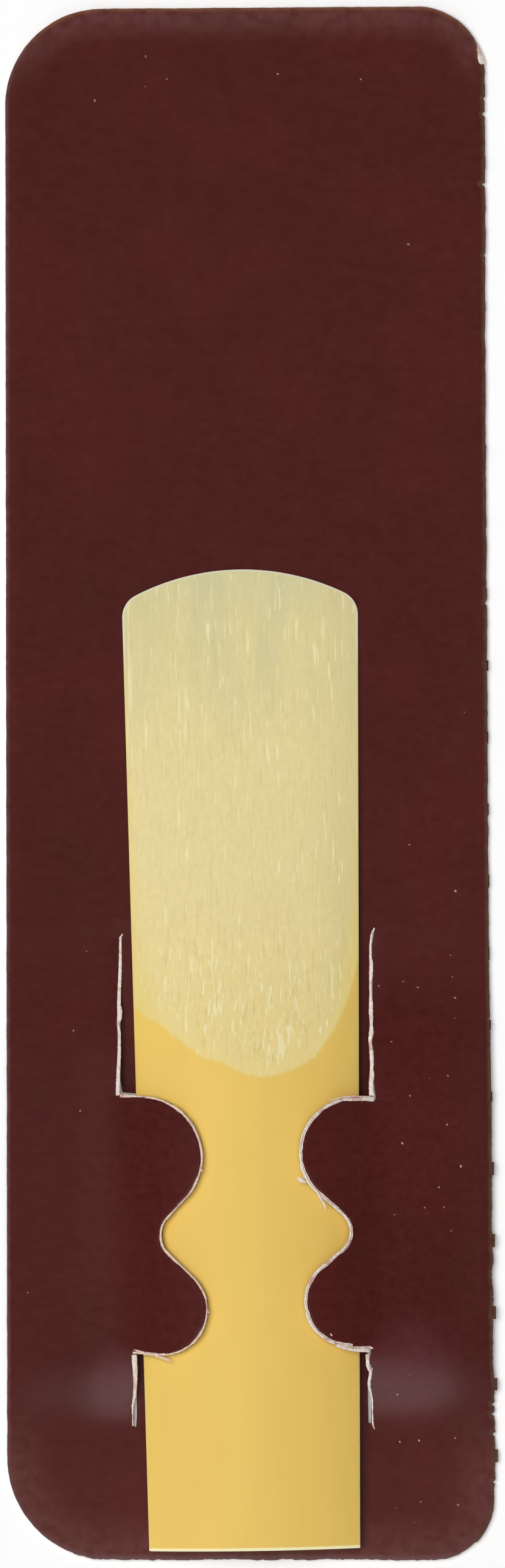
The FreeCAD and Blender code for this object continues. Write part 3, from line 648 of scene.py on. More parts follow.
@made_once("materials", "dark_face")
def face_material(settings):
    """Glossy dark facing: paler at the rim from abraded ink and a painted highlight, a painted sheen near the
    top and bottom, two painted highlight patches on the arched bands, and faint scuffs.
    """
    material, graph, surface = new_material("dark_face")
    place = graph.add("ShaderNodeTexCoord").outputs["Object"]
    x, y = graph.add("ShaderNodeSeparateXYZ", {0: place}).outputs[:2]
    blotch, speckle = mottle(graph, place, 120.0, 2600.0)
    base = (*settings.face_colour, 1.0)
    deep = (*[value * 0.84 for value in settings.face_colour], 1.0)
    colour = graph.mix(blotch, deep, base)
    grain = graph.ease(graph.noise(graph.stretch(place, (1.0, 2.2, 1.0)), 1100.0, 4.0, 0.7), 0.36, 0.64)
    colour = graph.wash(colour, grain, 0.12, shade(96, 46, 36))
    colour = graph.wash(colour, speckle, 0.06, shade(110, 60, 56))
    rim = graph.attribute("rim")
    wear_and_sheen_noise = graph.ease(graph.noise(place, 1400.0, 3.0, 0.6), 0.30, 0.62)
    # The rim is paler partly from abraded ink and partly as a painted highlight of its rolled edge: warm at
    # the top, olive on the right.
    rim_near = graph.ease(rim, 0.34, 0.05)
    rim_wear_and_highlight_share = graph.times(rim_near, graph.math("MULTIPLY_ADD", wear_and_sheen_noise, 0.6, 0.4))
    top = graph.ease(y, 0.0440, 0.0474)
    right = graph.ease(x, 0.0130, 0.0140)
    rim_wear_and_highlight = graph.mix(right, shade(98, 64, 62), shade(98, 70, 50))
    rim_wear_and_highlight = graph.mix(top, rim_wear_and_highlight, (*settings.rim_wear_and_highlight, 1.0))
    bottom = graph.ease(y, -0.0370, -0.0440)
    # A painted sheen makes the face paler near the top and bottom edges, broken up by noise, and a little
    # paler over the lowest part of the card.
    sheen_zones = graph.math("MAXIMUM", graph.times(graph.ease(y, 0.0420, 0.0465), graph.ease(rim, 2.4, 0.5)),
                        graph.times(bottom, graph.ease(rim, 3.4, 0.4)))
    sheen_share = graph.times(sheen_zones, graph.math("MULTIPLY_ADD", wear_and_sheen_noise, 0.28, 0.20))
    colour = graph.mix(sheen_share, colour, shade(110, 66, 64))
    colour = graph.wash(colour, bottom, 0.08, shade(126, 70, 66))
    # Two purplish painted highlight patches over the arched bands' lower ramps.
    highlight_hazes = []
    for centre_x, centre_y, reach_x, reach_y in PAINTED_HIGHLIGHTS:
        off = graph.vector("SUBTRACT", place, (centre_x * MM, centre_y * MM, 0))
        share = graph.vector("MULTIPLY", off, (1 / (reach_x * MM), 1 / (reach_y * MM), 0))
        away = graph.add("ShaderNodeVectorMath", {0: share}, operation="LENGTH").outputs["Value"]
        highlight_hazes.append(graph.ease(away, 1.15, 0.30))
    painted_highlight_haze = graph.times(graph.math("MAXIMUM", *highlight_hazes), graph.math("MULTIPLY_ADD", wear_and_sheen_noise, 0.05, 0.11))
    colour = graph.mix(painted_highlight_haze, colour, shade(142, 82, 92))
    colour = graph.wash(colour, rim_wear_and_highlight_share, 0.85, rim_wear_and_highlight)
    scuff = streaks(graph, place, 900.0, 4200.0, 0.62, 0.80)
    rough = graph.math("MULTIPLY_ADD", speckle, 0.05, 0.33)
    rough = graph.math("MULTIPLY_ADD", scuff, 0.10, rough)
    rough = graph.math("MULTIPLY_ADD", rim_wear_and_highlight_share, 0.22, rough)
    unrubbed = graph.math("MAXIMUM", graph.ease(x, -0.0092, -0.0115), graph.ease(x, 0.0118, 0.0140))
    rough = graph.math("MULTIPLY_ADD", unrubbed, 0.16, rough)
    surface.inputs["IOR"].default_value = 1.47
    peel = graph.noise(place, 1500.0, 2.0)
    height = graph.math("MULTIPLY_ADD", wear_and_sheen_noise, graph.times(rim_wear_and_highlight_share, 0.8), peel)
    dress(graph, surface, colour, rough, (0.05, 0.00004, height))
    return material


@made_once("materials", "dull_back")
def back_material(settings):
    """The hidden side's facing, the same ink on duller paper."""
    material, graph, surface = new_material("dull_back")
    place = graph.add("ShaderNodeTexCoord").outputs["Object"]
    blotch, speckle = mottle(graph, place, 90.0, 1800.0)
    base = (*[value * 1.15 for value in settings.face_colour], 1.0)
    colour = graph.mix(blotch, (*settings.face_colour, 1.0), base)
    colour = graph.wash(colour, speckle, 0.22, shade(104, 52, 48))
    rough = graph.math("MULTIPLY_ADD", speckle, 0.15, 0.5)
    dress(graph, surface, colour, rough, (0.25, 0.00004, speckle))
    return material


def speck_material():
    """Pinkish flecks of core showing through the facing."""
    material, graph, surface = new_material("pricked_fleck")
    place = graph.add("ShaderNodeTexCoord").outputs["Object"]
    blotch, speckle = mottle(graph, place, 260.0, 9000.0)
    colour = graph.mix(blotch, shade(116, 70, 70), shade(196, 154, 150))
    colour = graph.wash(colour, speckle, 0.4, shade(104, 60, 58))
    graph.set(surface.inputs["Base Color"], colour)
    graph.set(surface.inputs["Roughness"], graph.math("MULTIPLY_ADD", speckle, 0.2, 0.6))
    return material


@made_once("materials", "torn_core")
def core_material(settings):
    """Torn white paper core, tinted here and there by the facing."""
    material, graph, surface = new_material("torn_core")
    place = graph.add("ShaderNodeTexCoord").outputs["Object"]
    blotch, speckle = mottle(graph, place, 700.0, 6000.0)
    base = (*settings.core_colour, 1.0)
    colour = graph.mix(graph.attribute("tint"), base, (*settings.cream_colour, 1.0))
    ink = graph.ease(graph.noise(place, 1300.0, 2.0), 0.52, 0.66)
    colour = graph.wash(colour, ink, 0.55, shade(205, 138, 124))
    colour = graph.wash(colour, speckle, 0.22, shade(168, 140, 130))
    rough = graph.math("MULTIPLY_ADD", blotch, 0.15, 0.75)
    dress(graph, surface, colour, rough, (0.6, 0.00006, speckle))
    return material


# What repeats along a cut, an edge or a face is grown by geometry trees

def geometry_tree(name, sizes):
    """A geometry tree that takes a geometry, named sizes and a material."""
    group = bpy.data.node_groups.new(name, "GeometryNodeTree")
    face = group.interface
    face.new_socket("Geometry", in_out="INPUT", socket_type="NodeSocketGeometry")
    for label, value in sizes.items():
        face.new_socket(label, in_out="INPUT", socket_type="NodeSocketFloat").default_value = value
    face.new_socket("Material", in_out="INPUT", socket_type="NodeSocketMaterial")
    face.new_socket("Geometry", in_out="OUTPUT", socket_type="NodeSocketGeometry")
    graph = Tree(group)
    return group, graph, graph.add("NodeGroupInput").outputs


def end_tree(graph, geometry, source):
    """Makes the tree's instances real and gives them the material."""
    real = graph.add("GeometryNodeRealizeInstances", {"Geometry": geometry})
    painted = graph.add("GeometryNodeSetMaterial",
                        {"Geometry": real.outputs[0], "Material": source["Material"]})
    graph.add("NodeGroupOutput", {0: painted.outputs[0]})


def grown(name, source, group, values):
    """The plain mesh that a tree grows from a source mesh."""
    carrier = add_object(name, source)
    modifier = carrier.modifiers.new("grow", "NODES")
    modifier.node_group = group
    for item in group.interface.items_tree:
        if item.in_out == "INPUT" and item.name in values:
            modifier[item.identifier] = values[item.name]
    depsgraph = bpy.context.evaluated_depsgraph_get()
    mesh = bpy.data.meshes.new_from_object(carrier.evaluated_get(depsgraph))
    mesh.name = name
    bpy.data.objects.remove(carrier)
    return mesh


def run_mesh(name, runs, attributes):
    """Runs of points in the row frame, in millimetres, as one mesh of edges with values at its points."""
    points = np.vstack(runs) * MM
    edges, offset = [], 0
    for run in runs:
        edges += [(offset + k, offset + k + 1) for k in range(len(run) - 1)]
        offset += len(run)
    mesh = bpy.data.meshes.new(name)
    mesh.from_pydata(points.tolist(), edges, [])
    for key, values in attributes.items():
        store_values(mesh, key, np.concatenate(values))
    return mesh


def random_value(graph, kind, low, high, seed):
    """A random field, a number or a vector, with a fixed seed."""
    node = graph.add("FunctionNodeRandomValue", data_type=kind)
    vector = kind == "FLOAT_VECTOR"
    node.inputs[0 if vector else 2].default_value = low
    node.inputs[1 if vector else 3].default_value = high
    node.inputs["Seed"].default_value = seed
    return node.outputs[0 if vector else 1]


def point_value(graph, name):
    """The value that a mesh keeps at its points under a name."""
    return graph.add("GeometryNodeInputNamedAttribute", {"Name": name}, data_type="FLOAT").outputs[0]


def ragged(graph, geometry, scale, reach, squeeze=None):
    """Moves the points of a geometry about by noise."""
    noise = graph.add("ShaderNodeTexNoise", {"Scale": scale, "Detail": 2.0})
    shove = graph.vector("SUBTRACT", noise.outputs["Color"], (0.5, 0.5, 0.5))
    if squeeze:
        shove = graph.vector("MULTIPLY", shove, squeeze)
    shove = graph.add("ShaderNodeVectorMath", {0: shove, "Scale": reach}, operation="SCALE")
    return graph.add("GeometryNodeSetPosition", {"Geometry": geometry, "Offset": shove.outputs[0]})


def torn_edge_tree():
    """A jagged strip of torn core along a run, with loose fibres standing from it."""
    group, graph, source = geometry_tree("torn_edge", {
        "Step": 0.00009, "Flatness": 0.4, "Jag": 0.00008, "Jag Scale": 9000.0,
        "Fibre Spacing": 0.0005, "Fibre Length": 0.00024, "Fibre Width": 0.000013})
    curve = graph.add("GeometryNodeMeshToCurve", {"Mesh": source["Geometry"]}).outputs[0]
    half_width = point_value(graph, "half_width")
    strip = graph.add("GeometryNodeResampleCurve", {"Curve": curve, "Length": source["Step"]}, mode="LENGTH")
    upright = graph.add("GeometryNodeSetCurveNormal", {"Curve": strip.outputs[0]}, mode="Z_UP")
    ring = graph.add("GeometryNodeCurvePrimitiveCircle", {"Resolution": 8, "Radius": 1.0})
    flat = graph.xyz(1.0, source["Flatness"], 1.0)
    profile = graph.add("GeometryNodeTransform", {"Geometry": ring.outputs[0], "Scale": flat})
    tube = graph.add("GeometryNodeCurveToMesh", {
        "Curve": upright.outputs[0], "Profile Curve": profile.outputs[0],
        "Scale": half_width, "Fill Caps": True})
    jagged = ragged(graph, tube.outputs[0], source["Jag Scale"], source["Jag"])
    roots = graph.add("GeometryNodeCurveToPoints", {"Curve": curve, "Length": source["Fibre Spacing"]},
                      mode="LENGTH")
    cone = graph.add("GeometryNodeMeshCone", {
        "Vertices": 5, "Radius Top": 0.0, "Radius Bottom": source["Fibre Width"],
        "Depth": source["Fibre Length"]})
    fibres = graph.add("GeometryNodeInstanceOnPoints", {
        "Points": roots.outputs[0], "Instance": cone.outputs[0],
        "Rotation": random_value(graph, "FLOAT_VECTOR", (1.2, -0.3, 0.0), (1.75, 0.3, 6.283), 5),
        "Scale": random_value(graph, "FLOAT", 0.3, 1.1, 6)})
    joined = graph.add("GeometryNodeJoinGeometry")
    for part in (jagged, fibres):
        group.links.new(part.outputs[0], joined.inputs[0])
    end_tree(graph, joined.outputs[0], source)
    return group


def speck_tree():
    """Flat specks scattered over a face where its dust value is high."""
    group, graph, source = geometry_tree("dust_specks", {
        "Density": 115000.0, "Size": 0.000095, "Flatness": 0.14})
    density = graph.times(point_value(graph, "dust"), source["Density"])
    points = graph.add("GeometryNodeDistributePointsOnFaces", {"Mesh": source["Geometry"], "Density": density,
                                                               "Seed": 14})
    ball = graph.add("GeometryNodeMeshIcoSphere", {"Radius": source["Size"], "Subdivisions": 2})
    flat = graph.xyz(1.0, 0.75, source["Flatness"])
    flake = graph.add("GeometryNodeTransform", {"Geometry": ball.outputs[0], "Scale": flat})
    specks = graph.add("GeometryNodeInstanceOnPoints", {
        "Points": points.outputs[0], "Instance": flake.outputs[0],
        "Rotation": random_value(graph, "FLOAT_VECTOR", (-0.15, -0.15, 0.0), (0.15, 0.15, 6.283), 8),
        "Scale": random_value(graph, "FLOAT", 0.35, 1.0, 9)})
    end_tree(graph, specks.outputs[0], source)
    return group


def tie_tree():
    """Torn ties standing from an edge at an even pitch, each a rough block of board."""
    group, graph, source = geometry_tree("torn_ties", {
        "Pitch": TIE_PITCH * MM, "Stand": 0.0003, "Width": 0.00072, "Thickness": 0.00036, "Rag": 0.00009})
    curve = graph.add("GeometryNodeMeshToCurve", {"Mesh": source["Geometry"]})
    places = graph.add("GeometryNodeResampleCurve", {"Curve": curve.outputs[0], "Length": source["Pitch"]},
                       mode="LENGTH")
    size = graph.xyz(graph.times(source["Stand"], 2.0), source["Width"], source["Thickness"])
    block = graph.add("GeometryNodeMeshCube", {
        "Size": size, "Vertices X": 3, "Vertices Y": 6, "Vertices Z": 3})
    stand = point_value(graph, "stand")
    blocks = graph.add("GeometryNodeInstanceOnPoints", {
        "Points": places.outputs[0], "Instance": block.outputs[0],
        "Scale": graph.xyz(stand, random_value(graph, "FLOAT", 0.8, 1.15, 3), 1.0)})
    real = graph.add("GeometryNodeRealizeInstances", {"Geometry": blocks.outputs[0]})
    rough = ragged(graph, real.outputs[0], 4200.0, source["Rag"], (1.0, 1.0, 0.2))
    # How much of the rim's abraded and painted highlight colour each tie takes: the further it stands out,
    # the more.
    tie_rim_value = graph.ease(stand, 0.15, 0.60, 0.28, 0.12)
    rim = graph.add("GeometryNodeStoreNamedAttribute",
                    {"Geometry": rough.outputs[0], "Name": "rim", "Value": tie_rim_value},
                    data_type="FLOAT", domain="POINT")
    end_tree(graph, rim.outputs[0], source)
    return group


def torn_run(body, stations, tint):
    """Points of one torn strip in the row frame with its half widths and its tint."""
    stations = np.array(stations)
    plan = stations[:, :2]
    if body == "card":
        band = plan + [[1, 0]] * np.sign(plan) * 0.2
        level = board_lift(band) + BOARD - 0.02
    else:
        level = tab_height(plan, BOARD) - 0.03
    points = np.column_stack([die_to_row(plan), level])
    slim = CARD_STRIP_SLIM if body == "card" else 1.0
    return points, stations[:, 2] / 2 * slim * MM, np.full(len(plan), tint)


def build_torn_edges(settings):
    """Torn core along every cut: the measured strips, and a thin ragged line round the tabs."""
    group, core = torn_edge_tree(), core_material(settings)
    for body, runs in TORN_RUNS.items():
        rows = [torn_run(body, stations, tint) for tint, stations in runs]
        for side, side_name in SIDE_NAMES.items():
            if body == f"{side_name}_tab":
                _, edge = tab_plan(side, 0.05, 0.02, 91 + side)
                wide = TAB_LINE[side] + 0.03 * wander(np.arange(len(edge)) * 0.1, 0.5, 97 + side)
                points = np.column_stack([die_to_row(edge), tab_height(edge, BOARD) - 0.07])
                rows.append((points, wide * MM, np.full(len(edge), TAB_LINE_CREAM[side])))
        points, widths, tints = zip(*rows)
        source = run_mesh(f"{body}_cut", points, {"half_width": widths, "tint": tints})
        mesh = grown(f"{body}_torn_edge", source, group, {"Material": core})
        place_piece(f"{body}_torn_edge", mesh, body, "board_core")


def build_specks(settings):
    """Pale specks where the facing is pricked through, mostly down the right side."""
    plan, faces = fill_plan(np.array(SPECK_FIELD), [], 0.9)
    die = row_to_die(plan)
    clear = (np.abs(die[:, 0]) > SLIDE_HALF_WIDTH) | (plan[:, 1] > SLIDE_END)
    dusty = (plan[:, 0] > 8) & (plan[:, 1] < -6)
    share = np.where(dusty, 1.0, 0.12) * np.where(clear, 1.0, 0.0)
    points = np.column_stack([plan, board_lift(die) + BOARD]) * MM
    mesh = bpy.data.meshes.new("speck_field")
    mesh.from_pydata(points.tolist(), [], faces.tolist())
    store_values(mesh, "dust", share)
    grown_mesh = grown("card_specks", mesh, speck_tree(), {"Material": speck_material()})
    place_piece("card_specks", grown_mesh, "card", "board_core")


def build_ties(settings):
    """The torn ties that held the card to its neighbour, down the right edge."""
    count = (TIE_COUNT - 1) * 8 + 1
    y = CARD_HEEL + TIE_FIRST + np.linspace(0, (TIE_COUNT - 1) * TIE_PITCH, count)
    x = RIGHT_EDGE - (y - CARD_HEEL) / CARD_LENGTH * RIGHT_LEAN + np.interp(y, BOW_PLACES, BOWS)
    lift = board_lift(row_to_die(np.column_stack([x, y])))
    stand = np.interp((y - CARD_HEEL - TIE_FIRST) / TIE_PITCH, np.arange(TIE_COUNT), TIE_STANDS)
    points = np.column_stack([x, y, lift + BOARD / 2 - 0.06])
    source = run_mesh("tie_line", [points], {"stand": [stand]})
    mesh = grown("card_ties", source, tie_tree(), {"Material": face_material(settings)})
    place_piece("card_ties", mesh, "card", "front_facing")


# The card

def torn_outline():
    """The card's outer edge in the row frame: its clean run, outward directions and how far it stands out."""
    base, places = even_run(rounded_outline(CARD_CORNERS, CARD_RADII), 0.1, True)
    outward = sideways(base, True)
    x, y = base[:, 0], base[:, 1]
    on_right = (x > 14.0) & (y > -45.5) & (y < 44.5)
    on_bottom = y < -47.6
    stand = 0.018 * torn(places, 11)
    lower = np.clip((-22.0 - y) / 6.0, 0, 1)
    rag = (0.03 + 0.05 * lower) * torn(places, 31)
    nick = np.zeros_like(y)
    for place, depth in NICKS:
        nick = np.maximum(nick, depth * np.clip(1.2 - np.abs(y - place) / NICK_REACH, 0, 1))
    stand = np.where(on_right, stand + rag - nick, stand) + np.interp(y, BOW_PLACES, BOWS) * (x > 14.0)
    stand = np.where(on_bottom, stand + 0.08 * torn(places, 47), stand)
    return base, outward, stand


def slit_hole(side, bare, rag, seed):
    """The gap cut between the centre strip, the tab and the band on one side, bare along the band."""
    strip_upper, strip_lower = UPPER_SLIT - KERF / 2, LOWER_SLIT - KERF / 2
    band_upper, band_lower = UPPER_SLIT + KERF / 2, LOWER_SLIT + KERF / 2
    top = TAB_TOPS[side]
    strip = [(strip_upper, UPPER_END)]
    strip += tab_edge(side, (strip_upper, top + KERF / 2), (strip_lower, TAB_FOOT - KERF / 2), -KERF / 2)
    strip += [(strip_lower, LOWER_END)]
    strip, _ = even_run(strip, 0.12)
    on_slit = (strip[:, 1] > top + KERF) | (strip[:, 1] < TAB_FOOT - KERF)
    strip[:, 0] += slit_shift(strip * [side, 1]) * on_slit
    band = [(band_lower, LOWER_END), (band_lower, TAB_FOOT), (band_upper, top), (band_upper, UPPER_END)]
    band, along = even_run(band, 0.1)
    upper = np.clip((UPPER_END - band[:, 1]) / 2.5, 0, 1) * (band[:, 1] > top)
    lower = np.clip((band[:, 1] - LOWER_END) / 3.0, 0, 1) * (band[:, 1] < TAB_FOOT)
    width = bare * (upper + lower) ** 0.5
    width += rag * torn(along, seed) * np.minimum(1, 2 * (upper + lower))
    band[:, 0] += np.maximum(width, 0) + slit_shift(band * [side, 1])
    loop = np.vstack([strip, band])
    loop[:, 0] *= side
    return loop


def card_ply(name, outer, holes, levels, drops, material, spacing, slot, node):
    """One ply of the card. levels are its under and upper height over the board's underside."""
    plan, faces = fill_plan(outer, holes, spacing, drops["rings"])
    rim = edge_distance(plan, outer)
    cut = np.minimum(*[edge_distance(plan, hole) for hole in holes])
    lift = board_lift(plan)
    roll = rolled(rim, drops["roll_width"], drops["roll_depth"])
    crush = crushed(cut, drops["crush_width"], drops["crush_depth"])
    over = lift + levels[1] - roll * drops["over_roll"] - crush
    under = lift + levels[0] - roll * drops["under_roll"]
    over = np.maximum(over, under + 0.01)
    creamy = 0.35 * np.clip(1 - rim / 0.5, 0, 1)
    mesh = closed_ply(name, plan, faces, under, over, {"rim": rim, "tint": creamy}, [material])
    place_piece(name, mesh, "card", slot, node)


def outline_rings(base, outward, stand):
    """Rows of points just inside the card's edge, for its rolled rim."""
    rings = []
    for share, inset in ((0.9, 0.02), (0.75, 0.06), (0.55, 0.12), (0.3, 0.2), (0.1, 0.31), (0.0, 0.46)):
        ring = base + outward * (stand * share - inset)[:, None]
        rings.append(row_to_die(ring))
    return rings


def build_card(settings):
    """The three plies of the card, each with its own torn outline."""
    base, outward, stand = torn_outline()
    at_tear = base[:, 0] > 10
    torn_back = np.interp(base[:, 1], TEAR_PLACES, TEAR_BACK, 0, 0) * at_tear
    torn_out = np.interp(base[:, 1], TEAR_PLACES, TEAR_OUT, 0, 0) * at_tear
    outer = row_to_die(base + outward * (stand - torn_back)[:, None])
    core_outer = row_to_die(base + outward * (stand + torn_out)[:, None])
    face, core, back = face_material(settings), core_material(settings), back_material(settings)
    rings = outline_rings(base, outward, stand)
    drops = {"rings": np.vstack(rings), "roll_width": settings.rim_radius / MM, "roll_depth": 0.20,
             "over_roll": 1.0, "under_roll": 1.0, "crush_width": 0.25, "crush_depth": 0.04}
    face_holes = [slit_hole(side, 0.03, 0.02, 60 + side) for side in (-1, 1)]
    card_ply("card_face", outer, face_holes, (FACING + CORE, BOARD), drops, face, 0.5,
             "front_facing", "card_front_facing")
    core_holes = [slit_hole(side, 0.0, 0.03, 70 + side) for side in (-1, 1)]
    core_drops = dict(drops, rings=np.vstack(rings[2:]), under_roll=0.0, crush_width=0.22, crush_depth=0.12)
    card_ply("card_board", core_outer, core_holes, (FACING, FACING + CORE), core_drops, core, 0.6,
             "board_core", "card_core")
    back_drops = dict(drops, rings=np.vstack(rings[3:]), over_roll=0.0, under_roll=0.0, crush_depth=0.0)
    card_ply("card_back", outer, core_holes, (0.0, FACING), back_drops, back, 0.7,
             "back_facing", "card_back_facing")


# The tabs

def tab_plan(side, inset, rag, seed):
    """Plan of one ply of a tab, with its torn free edge."""
    start = (UPPER_SLIT + KERF / 2, TAB_TOPS[side] - inset)
    finish = (LOWER_SLIT + KERF / 2, TAB_FOOT + inset)
    edge, places = even_run(tab_edge(side, start, finish, inset), 0.1)
    fade = np.clip(np.minimum(places, places[-1] - places) / 0.6, 0, 1)
    edge += sideways(edge) * (rag * torn(places, seed) * fade)[:, None]
    root, _ = even_run([finish, start], 0.3)
    loop = np.vstack([edge, root[1:-1]])
    loop[:, 0] *= side
    return loop, edge * np.array([side, 1])


def build_hinges(settings):
    """The facing where it bends over each live hinge, smooth from band to tab."""
    face = face_material(settings)
    across = np.linspace(0, 1, HINGE_COLUMNS)
    for side, side_name in SIDE_NAMES.items():
        along = np.linspace(TAB_FOOT + HINGE_FOOT_GAP, TAB_TOPS[side] - HINGE_TOP_GAP, HINGE_ROWS)
        root = slit_across(np.column_stack([np.full_like(along, side), along])) + KERF / 2 - HINGE_GAP / 2
        rows = []
        for place, middle in zip(along, root):
            ends = np.array([middle - HINGE_REACH[side], middle + HINGE_REACH[side]])
            inner = tab_height(np.array([[ends[0], place]]), BOARD)[0]
            outer = board_lift(np.array([[side * ends[1], place]]))[0] + BOARD
            crease = tab_height(np.array([[middle, place]]), BOARD)[0]
            u = ends[0] + across * (ends[1] - ends[0])
            z = (1 - across) ** 2 * inner + 2 * across * (1 - across) * crease + across ** 2 * outer
            on_row = np.column_stack([u * side, np.full_like(u, place)])
            plies = np.where(u < middle, tab_height(on_row, BOARD), board_lift(on_row) + BOARD)
            rows.append(np.column_stack([on_row, z, np.minimum(z, plies) - HINGE_DEPTH]))
        rows = np.array(rows)
        plan = rows[:, :, :2].reshape(-1, 2)
        top, under = rows[:, :, 2].reshape(-1), rows[:, :, 3].reshape(-1)
        corner = np.arange(HINGE_ROWS * HINGE_COLUMNS).reshape(HINGE_ROWS, HINGE_COLUMNS)
        a, b, c, d = corner[:-1, :-1], corner[:-1, 1:], corner[1:, 1:], corner[1:, :-1]
        order = (a, b, c, d) if side > 0 else (d, c, b, a)
        first = np.stack([order[0], order[1], order[2]], axis=-1).reshape(-1, 3)
        second = np.stack([order[0], order[2], order[3]], axis=-1).reshape(-1, 3)
        faces = np.vstack([first, second])
        values = {"rim": np.full(len(plan), 5.0), "tint": np.zeros(len(plan))}
        mesh = closed_ply(f"{side_name}_hinge", plan, faces, under, top + HINGE_STAND, values, [face])
        piece = place_piece(f"{side_name}_hinge", mesh, None, "front_facing")
        middle = np.array([[side * (root.mean() + 0.35), 0.5], [side * (root.mean() - 0.35), 0.5]])
        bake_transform(piece)


def build_tabs(settings):
    """The three plies of each tab."""
    face, core, back = face_material(settings), core_material(settings), back_material(settings)
    bare = settings.bare_edge / MM
    layers = [
        ("face", "front_facing", (FACING + CORE, BOARD), bare, 0.05, 0.05, face),
        ("board", "board_core", (FACING, FACING + CORE), 0.0, 0.025, 0.14, core),
        ("back", "back_facing", (0.0, FACING), 0.0, 0.01, 0.0, back),
    ]
    for side, side_name in SIDE_NAMES.items():
        for number, (short, slot, levels, inset, rag, crush_depth, material) in enumerate(layers):
            if short == "face":
                inset *= 0.8 if side < 0 else 1.2
            loop, edge = tab_plan(side, inset, rag, 80 + 10 * number + side)
            rings = [edge - sideways(edge) * side * inset_by for inset_by in (0.06, 0.14, 0.24)]
            plan, faces = fill_plan(loop, [], 0.35, np.vstack(rings), 0.6)
            cut = edge_distance(plan, edge, False)
            over = tab_height(plan, levels[1]) - crushed(cut, 0.25, crush_depth)
            under = tab_height(plan, levels[0])
            over = np.maximum(over, under + 0.01)
            name = f"{side_name}_tab_{short}"
            values = {"rim": np.full(len(plan), 5.0), "tint": np.full(len(plan), 0.75 if side < 0 else 0.3)}
            mesh = closed_ply(name, plan, faces, under, over, values, [material])
            node = f"{side_name}_tab_{'core' if short == 'board' else slot}"
            place_piece(name, mesh, f"{side_name}_tab", slot, node)


# The reed

def reed_outline():
    """The reed's plan: heel, sides, rounded corners and the arc of the tip."""
    half_heel, half_tip = HEEL_WIDTH / 2, TIP_WIDTH / 2
    sag = TIP_CURVE - math.sqrt(TIP_CURVE ** 2 - half_tip ** 2)
    tip = REED_HEEL + REED_LENGTH
    corner = tip - sag
    centre = complex(0, tip - TIP_CURVE)
    # The corner's arc touches the tip's arc from inside and the side from inside.
    side_start, side_end = complex(half_heel, REED_HEEL), complex(half_tip, corner)
    along_side = (side_end - side_start) / abs(side_end - side_start)
    inward = along_side * 1j
    reach = TIP_CURVE - TIP_CORNER
    foot = side_start + inward * TIP_CORNER - centre
    b = (foot * along_side.conjugate()).real
    c = abs(foot) ** 2 - reach ** 2
    rounding = foot + centre + along_side * (-b + math.sqrt(b * b - c))
    on_side = rounding - inward * TIP_CORNER
    on_tip = centre + (rounding - centre) / abs(rounding - centre) * TIP_CURVE
    facing = (on_side + on_tip) / 2 - rounding
    right = arc_through(rounding, TIP_CORNER, on_side, on_tip, math.atan2(facing.imag, facing.real))
    mirrored = [complex(-p.real, p.imag) for p in right[::-1]]
    over = arc_through(centre, TIP_CURVE, on_tip, mirrored[0], math.pi / 2)
    run = [complex(half_heel, REED_HEEL), *right, *over[1:-1], *mirrored, complex(-half_heel, REED_HEEL)]
    return [(p.real, p.imag) for p in run]


def spline_shares(stations, places):
    """Weight of each station at each place, for a natural cubic through them."""
    stations = np.asarray(stations, float)
    count = len(stations)
    steps = np.diff(stations)
    system, right = np.zeros((count, count)), np.zeros((count, count))
    system[0, 0] = system[-1, -1] = 1
    for k in range(1, count - 1):
        system[k, k - 1:k + 2] = steps[k - 1], 2 * (steps[k - 1] + steps[k]), steps[k]
        right[k, k - 1:k + 2] = 6 / steps[k - 1], -6 / steps[k - 1] - 6 / steps[k], 6 / steps[k]
    bends = np.linalg.solve(system, right)
    index = np.clip(np.searchsorted(stations, places) - 1, 0, count - 2)
    step = steps[index]
    a = (stations[index + 1] - places) / step
    b = 1 - a
    unit = np.eye(count)
    return (a[:, None] * unit[index] + b[:, None] * unit[index + 1]
            + ((a ** 3 - a) * step ** 2 / 6)[:, None] * bends[index]
            + ((b ** 3 - b) * step ** 2 / 6)[:, None] * bends[index + 1])


def bark_height(across):
    """Height of the bark over the table."""
    return BARK_CENTRE + np.sqrt(BARK_RADIUS ** 2 - across ** 2)


def vamp_height(plan):
    """Height of the scraped vamp over the table, also where the bark is lower."""
    across = plan[:, 0] + VAMP_OFFSET
    along = np.maximum(plan[:, 1] - REED_HEEL, VAMP_STATIONS[0][0])
    weights = spline_shares([station[0] for station in VAMP_STATIONS], along)
    heights = [crown - radius + np.sqrt(radius ** 2 - across ** 2) for _, crown, radius in VAMP_STATIONS]
    height = np.einsum("ij,ji->i", weights, np.array(heights))
    before = VAMP_STATIONS[0][0] - (plan[:, 1] - REED_HEEL)
    height += np.maximum(before, 0) * VAMP_RISE
    stand = np.interp(plan[:, 0], SHOULDER_PLACES, SHOULDER_STANDS)
    fade = np.clip((SHOULDER_TOP - plan[:, 1]) / SHOULDER_FADE, 0, 1)
    return BOARD + height + VAMP_RISE * stand * fade * fade * (3 - 2 * fade)


